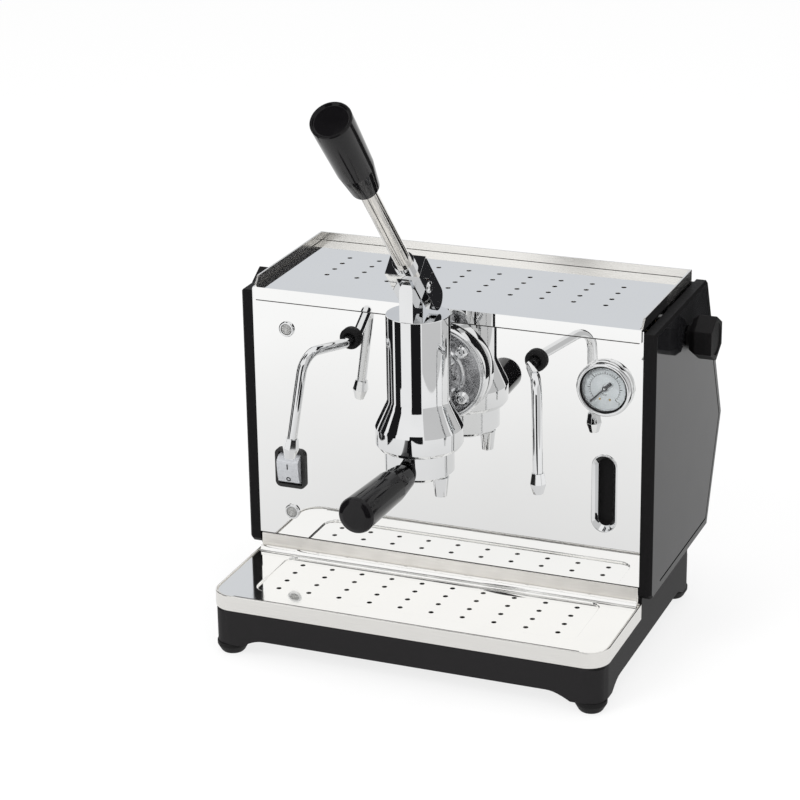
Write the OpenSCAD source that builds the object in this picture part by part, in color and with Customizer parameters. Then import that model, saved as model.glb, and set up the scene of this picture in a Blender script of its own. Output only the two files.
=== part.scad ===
// Lever espresso machine: a boiler in a sheet-metal body on a black base, a spring lever group
// on the mirror front panel, two wands with screw valves, a drip tray and a cup tray.
// X runs to the right, Y to the back and Z up. The origin lies on the ground under the middle
// of the machine. Depths are counted from the face of the front panel unless a comment says so.

/* [Body] */
// Width over the two side panels
body_w = 350; // [320:1:400]
// Height of the top edge of the side panels
body_top = 281; // [272:1:310]
// Depth of the body along its top edge
top_d = 146; // [142:1:170]
// Depth of the body at its deepest point
bulge_d = 201; // [190:1:230]
// Height of the deepest point
bulge_z = 149; // [130:1:170]
// Depth of the body at its heel
heel_d = 164; // [158:1:180]
// Thickness of a side panel
side_t = 10; // [6:0.5:14]
// Chamfer round the outer face of a side panel
side_bevel = 2; // [0.5:0.5:4]
// Thickness of the sheet-metal panels
sheet = 1.5; // [1:0.1:2]
// Height of the lower edge of the front panel
panel_bottom = 69; // [65:1:80]

/* [Base] */
// How far the base runs out in front of the front panel
base_front = 97; // [85:1:120]
// How far the base runs behind the front panel
base_rear = 152; // [140:1:156]
// How much the base is narrower than the body on each side
base_inset = 9; // [6:0.5:12]
// Radius of the upright corners of the base
base_r = 18; // [14:1:26]
// Wall of the base
base_wall = 3; // [2:0.5:4]
// Height of the deck that carries the drip tray
deck_z = 40.5; // [34:0.5:46]
// Height of the plinth that carries the body
plinth_z = 58; // [54:1:62]
// Height of the underside of the corner lobes
lobe_z = 10; // [7:0.5:12]
// Height of the arches between the lobes
arch_z = 17; // [14:0.5:20]
// Width of a rubber foot at its flared rim
foot_w = 26; // [20:1:28]

/* [Trays] */
// Height of the drip tray
tray_h = 13.5; // [11:0.5:16]
// Height of the drip tray's back upstand above its rim
upstand = 14; // [8:1:20]
// Depth of the pressed panel in the drip grid
press_depth = 1.5; // [0.8:0.1:2.5]
// Pitch of the hole columns in both trays
hole_pitch_x = 26.5; // [20:0.5:30]
// Pitch of the hole rows in both trays
hole_pitch_y = 16; // [12:0.5:20]
// Diameter of the holes in both trays
hole_w = 4.2; // [3:0.1:6]
// Distance from the back edge of the cup tray to the back edge of the body's top
cup_back = 9; // [6:1:20]
// Height of the cup tray's plate above the side panels
cup_rise = 3.5; // [1:0.5:6]
// Height of the cup tray's gallery
gallery_h = 7; // [5:0.5:20]

/* [Group] */
// Distance from the front panel to the axis of the group
group_out = 52; // [46:1:60]
// Outside diameter of the cylinder
cylinder_w = 50; // [48:1:56]
// Height of the flat cap on the cylinder
cap_z = 296; // [288:1:310]
// Bore of the cylinder
bore_w = 40; // [36:0.5:42]
// Height of the lower edge of the collar
collar_z = 188; // [180:1:195]
// Outside diameter of the bell and the collar
collar_w = 69; // [66:1:76]
// Height of the middle of the flange on the front panel
flange_z = 233; // [228:1:240]
// Diameter of the flange
flange_w = 79; // [74:1:84]
// Diameter of the neck between the flange and the cylinder
neck_w = 39; // [34:1:40]
// Spacing of the four flange bolts, in both directions
bolt_gap = 39; // [36:1:42]
// Lift of the piston over the full pull of the lever
piston_lift = 24; // [16:1:26]

/* [Lever] */
// Lean of the lever to the front at rest, in degrees
lever_lean = 42.6; // [30:0.1:50]
// Pull of the lever, in degrees
lever_pull = 65; // [45:1:70]
// Distance of the fulcrum in front of the group axis
fulcrum_out = 11; // [10:0.5:13]
// Height of the fulcrum above the cap
fulcrum_up = 26; // [24:0.5:30]
// Width of the fork over its two cheeks
fork_w = 28; // [26:0.5:34]
// Thickness of the fork from front to back
fork_t = 18.6; // [17:0.2:22]
// Diameter of the lever rod
rod_w = 13; // [10:0.5:15]
// Distance from the fulcrum to the lower end of the grip
grip_start = 131; // [100:1:150]
// Length of the grip
grip_len = 89.1; // [80:0.1:120]
// Diameter of the grip at its end
grip_w = 31; // [28:1:36]
// Diameter of the grip where the rod enters
grip_neck_w = 22; // [18:1:26]

/* [Portafilter] */
// Outside diameter of the portafilter body
pf_w = 55; // [53:0.5:56]
// Height of the underside of the portafilter body
pf_z = 166; // [160:1:170]
// Turn of the locked handle to the left, in degrees
pf_turn = 3.4; // [0:0.1:10]
// Height of the handle's axis
handle_z = 172; // [170:0.5:178]
// Length of the black handle
handle_len = 88; // [70:1:120]
// Diameter of the handle at its end
handle_w = 29; // [24:1:34]
// Spacing of the two spouts
spout_gap = 36; // [30:1:38]
// Height of the spout tips
spout_z = 148; // [140:1:155]

/* [Wands and valves] */
// Distance of each wand's grommet from the middle
wand_x = 78.5; // [70:0.5:90]
// Height of the grommets
wand_z = 250; // [240:1:256]
// Diameter of a wand tube
wand_w = 8; // [6:0.5:10]
// How far the upper bend of each wand stands out from the front panel
wand_out = 67; // [55:1:75]
// How far the upper bend lies above the grommet
wand_rise = 9; // [0:1:15]
// Length of a wand below its upper bend
wand_drop = 74; // [60:1:90]
// How far the right wand's bend lies to the side of its grommet
right_spread = 23; // [0:1:30]
// How far the left wand's bend lies to the side of its grommet
left_spread = 11; // [0:1:30]
// Length of a wand's nozzle
nozzle_len = 17; // [12:1:24]
// Distance of the knob axis behind the front panel
knob_y = 87; // [80:1:100]
// Height of the knob axis
knob_z = 253; // [248:1:258]
// Width of a knob over its corners
knob_w = 37; // [30:1:44]
// How far a knob stands out from its side panel
knob_out = 24; // [20:1:32]

/* [Front fittings] */
// Distance of the fittings' column from the body's side
fitting_in = 40; // [36:1:50]
// Height of the pressure gauge
gauge_z = 234; // [226:1:244]
// Diameter of the gauge's bezel
gauge_w = 45; // [40:1:50]
// How far the gauge stands out
gauge_out = 7; // [6:0.5:14]
// Height of the middle of the sight-glass opening
sight_z = 145; // [135:1:155]
// Height of the sight-glass bezel
sight_h = 66; // [56:1:74]
// Width of the sight-glass bezel
sight_w = 21; // [19:1:24]
// How far the sight-glass bezel stands out
sight_out = 1.5; // [1:0.5:4]
// How deep the sight-glass bezel's sleeve reaches behind the panel
sight_sleeve = 13; // [8:1:16]
// Height of the upper pilot lamp
lamp_high_z = 251; // [240:1:258]
// Height of the lower pilot lamp
lamp_low_z = 91; // [84:1:96]
// Diameter of a pilot lamp's ring
lamp_w = 13; // [10:0.5:15]
// Height of the middle of the switch
switch_z = 130; // [122:1:160]
// Width of the switch's bezel
switch_w = 27; // [24:0.5:32]
// Height of the switch's bezel
switch_h = 34; // [31:0.5:40]
// How far the switch's bezel stands out
switch_out = 2.5; // [2:0.5:5]

/* [Boiler] */
// Diameter of the boiler
boiler_w = 134; // [128:1:136]
// Length of the boiler
boiler_len = 210; // [180:1:214]
// Wall of the boiler
boiler_wall = 1.5; // [1:0.1:3]
// Height of the boiler's axis
boiler_z = 165; // [163:1:168]
// Distance of the boiler's axis behind the front panel
boiler_y = 96; // [90:1:104]

/* [Fits] */
// Gap between sheet-metal pieces that drop together
drop_fit = 0.2; // [0.1:0.05:0.4]
// Radial gap of a shaft that runs in its hole
run_fit = 0.05; // [0.02:0.01:0.1]
// Gap between moving pieces that only pass each other
pass_gap = 0.7; // [0.5:0.1:1.2]

/* [Hidden] */
$fn = 64;
eps = 0.02;

// The lever's grip is the foremost point and the bulge of the side panels the rearmost one.
// The front panel's face lies where the middle between the two is the origin.
grip_edge = 1;
lever_offset = 3.7;
fulcrum_reach = group_out + fulcrum_out;
grip_end = grip_start + grip_len;
front_reach = fulcrum_reach + (grip_end - grip_edge) * sin(lever_lean)
    + grip_w / 2 * cos(lever_lean) - lever_offset * cos(lever_lean);
panel_y = (front_reach - bulge_d) / 2;
group_y = panel_y - group_out;
fulcrum_y = panel_y - fulcrum_reach;
fulcrum_z = cap_z + fulcrum_up;

in_w = body_w - 2 * side_t;
fitting_x = body_w / 2 - fitting_in;
cup_d = top_d - cup_back;
base_w = body_w - 2 * base_inset;
tray_w = base_w + 2;
tray_front = base_front + 1;
tray_top = deck_z + tray_h;
deck_t = 3;
plinth_front = 5;
lip = 10.5;
cup_z = body_top + cup_rise;

// Side profile of the body, from the toe of the front edge round the top and the back.
toe = 4;
profile = [[0, plinth_z + toe], [0, body_top], [top_d, body_top], [bulge_d, bulge_z],
           [heel_d, plinth_z], [toe, plinth_z]];

function unit(v) = v / norm(v);
function right_of(a, b) = let (d = unit(b - a)) [d[1], -d[0]];
// The corner b of the outline a, b, c moved into the body by g.
function inset_corner(a, b, c, g) =
    let (m = right_of(a, b), n = right_of(b, c)) b + (m + n) * g / (1 + m * n);
function back_line(g) = [for (i = [2 : 4]) inset_corner(profile[i - 1], profile[i], profile[i + 1], g)];

// A path with its corners rounded off, r[0], r[1] and so on back from each corner.
function rounded_path(p, r, steps = 5) = concat(
    [p[0]],
    [for (i = [1 : len(p) - 2])
        let (a = p[i] + unit(p[i - 1] - p[i]) * r[i - 1], c = p[i] + unit(p[i + 1] - p[i]) * r[i - 1])
        for (k = [0 : steps])
            let (t = k / steps) a * (1 - t) * (1 - t) + p[i] * 2 * t * (1 - t) + c * t * t],
    [p[len(p) - 1]]);

function along(p, i) = unit(p[min(i + 1, len(p) - 1)] - p[max(i - 1, 0)]);

// A round tube swept along the path; the side vector is never parallel to the path.
module swept_tube(path, r, sides = 12, side = [1, 0, 0]) {
    n = len(path);
    points = [for (i = [0 : n - 1])
        let (t = along(path, i), u = unit(cross(t, side)), v = cross(t, u))
        for (k = [0 : sides - 1])
            path[i] + r * (cos(360 * k / sides) * u + sin(360 * k / sides) * v)];
    walls = [for (i = [0 : n - 2]) for (k = [0 : sides - 1])
        let (a = i * sides + k, b = i * sides + (k + 1) % sides)
        each [[a, a + sides, b], [b, a + sides, b + sides]]];
    start = [for (k = [1 : sides - 2]) [0, k, k + 1]];
    last = (n - 1) * sides;
    end = [for (k = [1 : sides - 2]) [last, last + k + 1, last + k]];
    polyhedron(points, concat(walls, start, end));
}

module on_panel() translate([0, panel_y, 0]) children();
module on_group() translate([0, group_y, 0]) children();
// Lever frame: Z along the lever, Y across it towards the back, X along the fulcrum.
module on_lever() translate([0, fulcrum_y, fulcrum_z]) rotate([lever_lean, 0, 0]) children();
// Portafilter frame: the handle points along -Y.
module on_portafilter() on_group() rotate([0, 0, -pf_turn]) children();
// A cylinder along Y that starts at y and runs to the back.
module along_y(r, y, len) translate([0, y, 0]) rotate([-90, 0, 0]) cylinder(r = r, h = len);
// A cylinder along X that is centred on the middle plane.
module along_x(r, len) rotate([0, 90, 0]) cylinder(r = r, h = len, center = true);
module ring(outer, inner, h) difference() {
    cylinder(r = outer, h = h);
    translate([0, 0, -eps]) cylinder(r = inner, h = h + 2 * eps);
}
module rounded_rect(w, d, r) {
    square([w - 2 * r, d], center = true);
    square([w, d - 2 * r], center = true);
    for (x = [-1, 1], y = [-1, 1])
        translate([x * (w / 2 - r), y * (d / 2 - r)]) circle(r);
}
module oval(w, h) {
    square([w, h - w], center = true);
    for (z = [-1, 1]) translate([0, z * (h - w) / 2]) circle(w / 2);
}
// Stands a flat outline up on the front panel, facing the front, from y to y + len.
module upright(y, len) translate([0, y + len, 0]) rotate([90, 0, 0]) linear_extrude(len) children();
module hole_field(y, z) for (i = [0 : 9], j = [0 : 3])
    translate([(i - 4.5) * hole_pitch_x, y + (j - 1.5) * hole_pitch_y, z])
        cylinder(d = hole_w, h = 3 * sheet, center = true, $fn = 24);

// Base and feet
base_len = base_front + base_rear;
base_mid = (base_rear - base_front) / 2;
foot_in = 13;
foot_r = foot_w / 2;
foot_stud = 4;
stud_len = 12;
gland_x = -100;
gland_r = 8.5;
gland_neck = 5.5;
gland_out = 4;
gland_in = 5;
gland_z = (arch_z + deck_z - deck_t) / 2;
cord_r = 4;
cord_hole = 8;
arch_run = 20;
arch_margin = 26;
feet_at = [for (x = [-1, 1], y = [base_mid - base_len / 2 + foot_in, base_mid + base_len / 2 - foot_in])
    [x * (base_w / 2 - foot_in), y]];

module base_outline(inset) translate([0, base_mid])
    rounded_rect(base_w - 2 * inset, base_len - 2 * inset, base_r - inset);
module arch(span) {
    half = span / 2 - arch_margin;
    rise = [for (k = [0 : 6]) [half - arch_run * k / 6, lobe_z + (arch_z - lobe_z) * sin(15 * k)]];
    polygon(concat([[half, 0]], rise, [for (k = [6 : -1 : 0]) [-rise[k][0], rise[k][1]]], [[-half, 0]]));
}
module base() color("#2e2d2f") on_panel() difference() {
    union() {
        difference() {
            translate([0, 0, lobe_z]) linear_extrude(deck_z - lobe_z) base_outline(0);
            translate([0, 0, lobe_z - eps]) linear_extrude(deck_z - deck_t - lobe_z) base_outline(base_wall);
        }
        for (p = feet_at) translate([p[0], p[1], lobe_z])
            cylinder(r = foot_in - 1, h = deck_z - deck_t - lobe_z + 1);
    }
    translate([0, base_mid + base_len / 2 + 1, 0]) rotate([90, 0, 0])
        linear_extrude(base_len + 2) arch(base_w);
    translate([-base_w / 2 - 1, base_mid, 0]) rotate([90, 0, 90]) linear_extrude(base_w + 2) arch(base_len);
    for (p = feet_at) translate([p[0], p[1], lobe_z - 1]) cylinder(r = foot_stud + run_fit, h = stud_len + 2);
    translate([gland_x - gland_neck - drop_fit, base_rear - 2 * base_wall, arch_z - 1])
        cube([2 * gland_neck + 2 * drop_fit, 3 * base_wall, gland_z + gland_neck + drop_fit - arch_z + 1]);
    translate([gland_x, base_rear - 30, deck_z - 2 * deck_t]) cylinder(r = cord_hole, h = 3 * deck_t);
}
module feet() color("#161616") on_panel() for (p = feet_at) translate([p[0], p[1], 0])
    rotate_extrude() polygon([[0, 0], [foot_r - 4.2, 0], [foot_r - 3, 1.2], [foot_r, lobe_z - 3.4],
        [foot_r, lobe_z], [foot_stud, lobe_z], [foot_stud, lobe_z + stud_len], [0, lobe_z + stud_len]]);

// Casing
// Folded pan: walls that stand on the deck, the casing's floor and a flange behind the front panel.
module chassis_plate() color("#2e2d2f") on_panel() {
    translate([0, 0, deck_z]) linear_extrude(plinth_z - deck_z) intersection() {
        difference() {
            base_outline(0);
            base_outline(base_wall);
        }
        translate([-base_w / 2, plinth_front]) square([base_w, base_rear]);
    }
    translate([-base_w / 2, plinth_front, deck_z]) cube([base_w, base_wall, plinth_z - deck_z]);
    difference() {
        translate([-in_w / 2 + drop_fit, sheet + 0.1, plinth_z - eps])
            cube([in_w - 2 * drop_fit, heel_d - sheet - 6, sheet + eps]);
        translate([gland_x, base_rear - 30, plinth_z - 1]) cylinder(r = cord_hole, h = sheet + 2);
    }
    translate([-in_w / 2 + drop_fit, sheet + 0.1, plinth_z])
        cube([in_w - 2 * drop_fit, sheet, panel_bottom + 8 - plinth_z]);
}
grommet_r = 9;
grommet_neck = grommet_r - 2;
gauge_body_r = gauge_w / 2 - 2.5;
switch_body_w = switch_w - 5;
switch_body_h = switch_h - 4;
slot_w = sight_w - 4;
slot_h = sight_h - 4;
water_port = 12.5;
bolt_r = 3;
module flange_bolts_at() for (x = [-1, 1], z = [-1, 1])
    translate([x * bolt_gap / 2, 0, flange_z + z * bolt_gap / 2]) children();
module front_panel() color("#e9eaec") on_panel() difference() {
    translate([-in_w / 2 + drop_fit, 0, panel_bottom])
        cube([in_w - 2 * drop_fit, sheet, cup_z - sheet - 0.1 - panel_bottom]);
    for (x = [-1, 1]) translate([x * wand_x, 0, wand_z]) along_y(grommet_neck + drop_fit, -1, sheet + 2);
    translate([fitting_x, 0, gauge_z]) along_y(gauge_body_r + drop_fit, -1, sheet + 2);
    for (z = [lamp_high_z, lamp_low_z]) translate([-fitting_x, 0, z])
        along_y(lamp_w / 2 - 1.3, -1, sheet + 2);
    translate([-fitting_x, 0, switch_z]) upright(-1, sheet + 2)
        square([switch_body_w + 2 * drop_fit, switch_body_h + 2 * drop_fit], center = true);
    translate([fitting_x, 0, sight_z]) upright(-1, sheet + 2)
        oval(slot_w + 2 * drop_fit + 2, slot_h + 2 * drop_fit + 2);
    translate([0, 0, flange_z]) along_y(water_port, -1, sheet + 2);
    flange_bolts_at() along_y(bolt_r + drop_fit, -1, sheet + 2);
}
groove_in = 8;
groove_w = 1.4;
groove_depth = 1;
spindle_r = 4;
module edge_bevel(p, q) translate([p[0], p[1], side_t])
    rotate([0, 0, atan2(q[1] - p[1], q[0] - p[0])]) rotate([45, 0, 0])
        translate([norm(q - p) / 2, 0, 0])
            cube([norm(q - p) + 12, side_bevel * sqrt(2), side_bevel * sqrt(2)], center = true);
module groove(p, q) translate([p[0], p[1], side_t - groove_depth])
    rotate([0, 0, atan2(q[1] - p[1], q[0] - p[0])])
        translate([0, -groove_w / 2, 0]) cube([norm(q - p), groove_w, 2 * groove_depth]);
// One side panel, made for the right; the left one is its mirror image.
module side_panel() color("#3a3b3e") on_panel() translate([in_w / 2, 0, 0]) rotate([90, 0, 90]) difference() {
    linear_extrude(side_t) polygon(profile);
    for (i = [0 : len(profile) - 1]) edge_bevel(profile[i], profile[(i + 1) % len(profile)]);
    line = concat(back_line(groove_in), [[24, plinth_z + groove_in]]);
    for (i = [0 : len(line) - 2]) groove(line[i], line[i + 1]);
    translate([knob_y, knob_z, -1]) cylinder(r = spindle_r + pass_gap, h = side_t + 2);
}
module right_side_panel() side_panel();
module left_side_panel() mirror([1, 0, 0]) side_panel();

rear_in = 2;
rear_w = in_w - 2 * drop_fit;
rear_outer = back_line(rear_in);
rear_inner = back_line(rear_in + sheet);
rear_tilt_high = atan2(rear_outer[1][0] - rear_outer[0][0], rear_outer[0][1] - rear_outer[1][1]);
rear_tilt_low = atan2(rear_outer[1][0] - rear_outer[2][0], rear_outer[1][1] - rear_outer[2][1]);
rear_high_len = norm(rear_outer[0] - rear_outer[1]);
rear_low_len = norm(rear_outer[1] - rear_outer[2]);
// Frames on the two faces of the rear panel: X across, Y up along the face, Z out of it.
module on_rear_high(up) on_panel() translate([0, rear_outer[1][0], rear_outer[1][1]])
    rotate([rear_tilt_high, 0, 0]) translate([0, 0, up]) rotate([90, 0, 180]) children();
module on_rear_low(down) on_panel() translate([0, rear_outer[1][0], rear_outer[1][1]])
    rotate([-rear_tilt_low, 0, 0]) translate([0, 0, -down]) rotate([90, 0, 180]) children();
screw_r = 2;
module rear_screws_at() {
    for (x = [-1, 1], up = [0.2, 0.8]) on_rear_high(up * rear_high_len)
        translate([x * (rear_w / 2 - 9), 0, 0]) children();
    for (x = [-1, 1]) on_rear_low(0.7 * rear_low_len) translate([x * (rear_w / 2 - 9), 0, 0]) children();
}
vent_count = 9;
vent_len = 130;
vent_h = 4;
module rear_panel() color("#2c2c2e") difference() {
    on_panel() translate([-rear_w / 2, 0, 0]) rotate([90, 0, 90]) linear_extrude(rear_w)
        polygon(concat([[cup_d + 1, rear_outer[0][1]]], rear_outer,
            [rear_inner[2], rear_inner[1], rear_inner[0]], [[cup_d + 1, rear_inner[0][1]]]));
    for (x = [-1, 1], i = [0 : vent_count - 1]) on_rear_high(rear_high_len / 2)
        translate([x * (vent_len / 2 + 8), (i - (vent_count - 1) / 2) * 10, -sheet])
            cube([vent_len, vent_h, 4 * sheet], center = true);
    rear_screws_at() translate([0, 0, -3]) cylinder(r = screw_r + run_fit, h = 6);
}
module rear_screws() color("#8d8d8d") rear_screws_at() {
    translate([0, 0, -6]) cylinder(r = screw_r, h = 6);
    intersection() {
        cylinder(r = 4, h = 2.4);
        translate([0, 0, -2]) sphere(r = 4.6);
    }
}
cup_w = in_w - 3;
gallery_front = sheet + drop_fit;
gallery_run = 6;
cup_skirt = cup_rise + 2 * sheet;
module cup_tray() color("#dfe1e4") on_panel() {
    difference() {
        translate([-cup_w / 2, -sheet - drop_fit, cup_z - sheet])
            cube([cup_w, cup_d + sheet + drop_fit, sheet]);
        hole_field(0.52 * cup_d, cup_z);
    }
    translate([-cup_w / 2, -sheet - drop_fit, cup_z - lip]) cube([cup_w, sheet, lip]);
    for (x = [-cup_w / 2, cup_w / 2 - sheet]) translate([x, 0, 0]) rotate([90, 0, 90]) linear_extrude(sheet)
        polygon([[gallery_front, cup_z - cup_skirt], [gallery_front, cup_z],
            [gallery_front + gallery_run, cup_z + gallery_h], [cup_d, cup_z + gallery_h],
            [cup_d, cup_z - cup_skirt]]);
    translate([-cup_w / 2, cup_d - sheet, cup_z - cup_skirt]) cube([cup_w, sheet, cup_skirt + gallery_h]);
}

// Drip tray and grid
tray_rear = sheet;
tray_len = tray_front + tray_rear;
tray_mid = (tray_rear - tray_front) / 2;
ledge = 5;
grid_t = 1.2;
grid_z = tray_top - 1 - grid_t;
grid_w = tray_w - 2 * sheet - 2 * drop_fit;
grid_len = tray_len - 2 * sheet - 2 * drop_fit;
press_w = 9 * hole_pitch_x + 34;
press_len = 3 * hole_pitch_y + 23;
press_mid = tray_mid + 7;
module tray_outline(inset) {
    translate([0, tray_mid]) rounded_rect(tray_w - 2 * inset, tray_len - 2 * inset, base_r - inset);
    translate([-tray_w / 2 + inset, tray_mid]) square([tray_w - 2 * inset, tray_len / 2 - inset]);
}
module drip_tray() color("#d6d4cf") on_panel() {
    translate([0, 0, deck_z]) difference() {
        linear_extrude(tray_h) tray_outline(0);
        translate([0, 0, sheet]) linear_extrude(tray_h) tray_outline(ledge);
        translate([0, 0, grid_z - deck_z]) linear_extrude(tray_h) tray_outline(sheet);
    }
    translate([-in_w / 2 + 1, 0, tray_top - 3]) cube([in_w - 2, sheet, upstand + 3]);
}
module drip_grid() color("#e6e7e9") on_panel() difference() {
    union() {
        translate([0, 0, grid_z]) linear_extrude(grid_t) difference() {
            tray_outline(sheet + drop_fit);
            translate([0, press_mid]) rounded_rect(press_w, press_len, 10);
        }
        translate([0, press_mid, grid_z - press_depth])
            linear_extrude(grid_t) rounded_rect(press_w, press_len, 10);
        translate([0, press_mid, grid_z - press_depth]) linear_extrude(grid_t + press_depth) difference() {
            rounded_rect(press_w + 2 * grid_t, press_len + 2 * grid_t, 10 + grid_t);
            rounded_rect(press_w, press_len, 10);
        }
    }
    hole_field(press_mid, grid_z - press_depth);
}

// Boiler and what hangs on it
boiler_r = boiler_w / 2;
neck_r = 26;
neck_plate = 6;
saddle_x = boiler_len / 2 - 43;
saddle_t = 3;
saddle_d = 92;
saddle_foot = 14;
saddle_rise = 33;
element_r = 16;
module on_boiler() on_panel() translate([0, boiler_y, boiler_z]) children();
module saddle() translate([0, boiler_y, 0]) {
    difference() {
        translate([0, -saddle_d / 2, plinth_z + sheet])
            cube([saddle_t, saddle_d, boiler_z - boiler_r + saddle_rise - plinth_z - sheet]);
        translate([-1, 0, boiler_z]) rotate([0, 90, 0]) cylinder(r = boiler_r + run_fit, h = saddle_t + 2);
    }
    translate([-saddle_foot / 2, -saddle_d / 2, plinth_z + sheet])
        cube([saddle_t + saddle_foot, saddle_d, sheet]);
}
module boiler_cradle() color("#8f9092") on_panel() for (s = [-1, 1])
    translate([s * saddle_x - saddle_t / 2, 0, 0]) saddle();
gauge_port_x = neck_r + 9;
pipe_port_x = boiler_len / 2 - 17;
relief_x = boiler_len / 2 - 49;
pstat_x = -boiler_len / 2 + 47;
pstat_w = 32;
pstat_d = 34;
pstat_h = 34;
port_r = 5;
pipe_r = 3;
gauge_pipe_r = 2;
// Ports along the top of the boiler: place along its length and radius.
boiler_ports = [[-pipe_port_x, pipe_r], [pstat_x, port_r], [gauge_port_x, gauge_pipe_r], [relief_x, port_r],
                [pipe_port_x, pipe_r]];
sight_tube_y = 26;
sight_arm_y = boiler_y - 8;
sight_fit_z = [sight_z - sight_h / 2 - 6, sight_z + sight_h / 2 + 6];
module boiler() color("#b06a3f") difference() {
    union() {
        on_boiler() along_x(boiler_r, boiler_len);
        on_panel() translate([0, 0, flange_z]) {
            along_y(neck_r, sheet + 1, boiler_y - sheet - 1);
            along_y(flange_w / 2, sheet, neck_plate);
        }
    }
    on_boiler() along_x(boiler_r - boiler_wall, boiler_len - 2 * boiler_wall);
    on_panel() translate([0, 0, flange_z]) along_y(water_port, 0, boiler_y);
    on_panel() flange_bolts_at() along_y(bolt_r + run_fit, 0, neck_plate + 4);
    for (p = boiler_ports) on_boiler() translate([p[0], 0, 0]) cylinder(r = p[1] + run_fit, h = boiler_r + 2);
    on_boiler() translate([-boiler_len / 2, 0, -20]) along_x(element_r + run_fit, 10);
    on_panel() for (z = sight_fit_z) translate([boiler_len / 2, sight_arm_y, z])
        along_x(port_r + run_fit, 20);
}
module heating_element() color("#a8a29a") on_boiler() translate([-boiler_len / 2, 0, -20]) {
    rotate([0, -90, 0]) cylinder(r = element_r + 6, h = 8, $fn = 6);
    rotate([0, 90, 0]) cylinder(r = element_r, h = 8);
    for (y = [-8, 8]) translate([0, y, 0]) rotate([0, 90, 0]) cylinder(r = 4, h = boiler_len - 50);
    translate([boiler_len - 50, 0, 0]) rotate([0, 0, -90])
        rotate_extrude(angle = 180) translate([8, 0]) circle(4);
    for (y = [-6, 6]) translate([-14, y, 0]) along_x(2, 14);
}
module boiler_stub(x, up) on_boiler() translate([x, 0, boiler_r - boiler_wall - 2])
    cylinder(r = port_r, h = up + boiler_wall + 2);
module pressure_switch() color("#3c3c3f") {
    boiler_stub(pstat_x, 9);
    on_boiler() translate([pstat_x - pstat_w / 2, -pstat_d / 2, boiler_r + 8])
        cube([pstat_w, pstat_d, pstat_h]);
}
module safety_valve() color("#c2a14a") {
    boiler_stub(relief_x, 9);
    on_boiler() translate([relief_x, 0, boiler_r + 8]) rotate_extrude()
        polygon([[0, 0], [10, 0], [10, 9], [8, 11], [8, 20], [4, 24], [0, 24]]);
}
valve_in = 9;
valve_r = 11;
valve_len = 36;
socket_y = 14;
socket_r = 7.5;
valve_x = in_w / 2 - valve_in - valve_len;
// Screw valve of the right side; the left one is its mirror image.
module on_valve(x) on_panel() translate([x, knob_y, knob_z]) rotate([0, 90, 0]) children();
module valve() color("#bf9d4d") on_valve(valve_x) difference() {
    union() {
        cylinder(r = valve_r, h = valve_len);
        cylinder(r = valve_r - 2, h = valve_len + valve_in);
    }
    translate([0, 0, 8]) cylinder(r = spindle_r + run_fit, h = valve_len + valve_in);
    translate([0, 0, -1]) cylinder(r = pipe_r + run_fit, h = 4);
    translate([0, -valve_r + 3, 14]) rotate([90, 0, 0]) cylinder(r = pipe_r + run_fit, h = 6);
}
module right_valve() valve();
module left_valve() mirror([1, 0, 0]) valve();
module spindle() color("#b9bbbd") on_valve(valve_x + 9)
    cylinder(r = spindle_r, h = body_w / 2 + knob_out - 6 - valve_x - 9);
module right_spindle() spindle();
module left_spindle() mirror([1, 0, 0]) spindle();
knob_neck = 4;
knob_skirt = 5;
module knob() color("#1b1b1c") on_valve(body_w / 2 + pass_gap) difference() {
    union() {
        cylinder(r = 8.5, h = knob_neck + 1);
        translate([0, 0, knob_neck]) cylinder(d1 = knob_w - 8, d2 = knob_w, h = knob_skirt, $fn = 6);
        translate([0, 0, knob_neck + knob_skirt])
            cylinder(d = knob_w, h = knob_out - pass_gap - knob_neck - knob_skirt, $fn = 6);
    }
    translate([0, 0, knob_out - pass_gap - 1]) cylinder(d = knob_w - 11, h = 2);
    translate([0, 0, -1]) cylinder(r = spindle_r, h = knob_out - 6 - pass_gap + 1);
}
module right_knob() knob();
module left_knob() mirror([1, 0, 0]) knob();
gauge_tail = 22;
// Feed pipe from the boiler to a valve, then from the valve to the socket that the wand turns in.
boiler_top = boiler_z + boiler_r;
feed_path = [[pipe_port_x, boiler_y, boiler_top - boiler_wall - 2], [pipe_port_x, boiler_y, knob_z - 4],
             [valve_x - 16, knob_y, knob_z], [valve_x + 3, knob_y, knob_z]];
wand_feed = [[valve_x + 14, knob_y - valve_r + 3, knob_z], [valve_x + 14, knob_y - 34, knob_z],
             [wand_x, 46, wand_z], [wand_x, socket_y + 8, wand_z]];
gauge_feed = [[gauge_port_x, boiler_y, boiler_top - boiler_wall - 2],
              [gauge_port_x, boiler_y, boiler_top + 24], [fitting_x - 70, 58, gauge_z + 8],
              [fitting_x, 58, gauge_z], [fitting_x, gauge_tail + 7, gauge_z]];
module copper_pipes() color("#b8734a") on_panel() {
    for (s = [0, 1]) mirror([s, 0, 0]) {
        swept_tube(rounded_path(feed_path, [7, 7]), pipe_r, 10, [0, 1, 0.1]);
        swept_tube(rounded_path(wand_feed, [12, 14]), pipe_r, 10, [0, 0.1, 1]);
        translate([wand_x, 0, wand_z]) difference() {
            along_y(socket_r, socket_y - 7, 16);
            along_y(wand_w / 2 + run_fit, socket_y - 8, 9);
        }
    }
    swept_tube(rounded_path(gauge_feed, [12, 12, 12]), gauge_pipe_r, 8, [0.3, 0.9, -1]);
}

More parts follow.
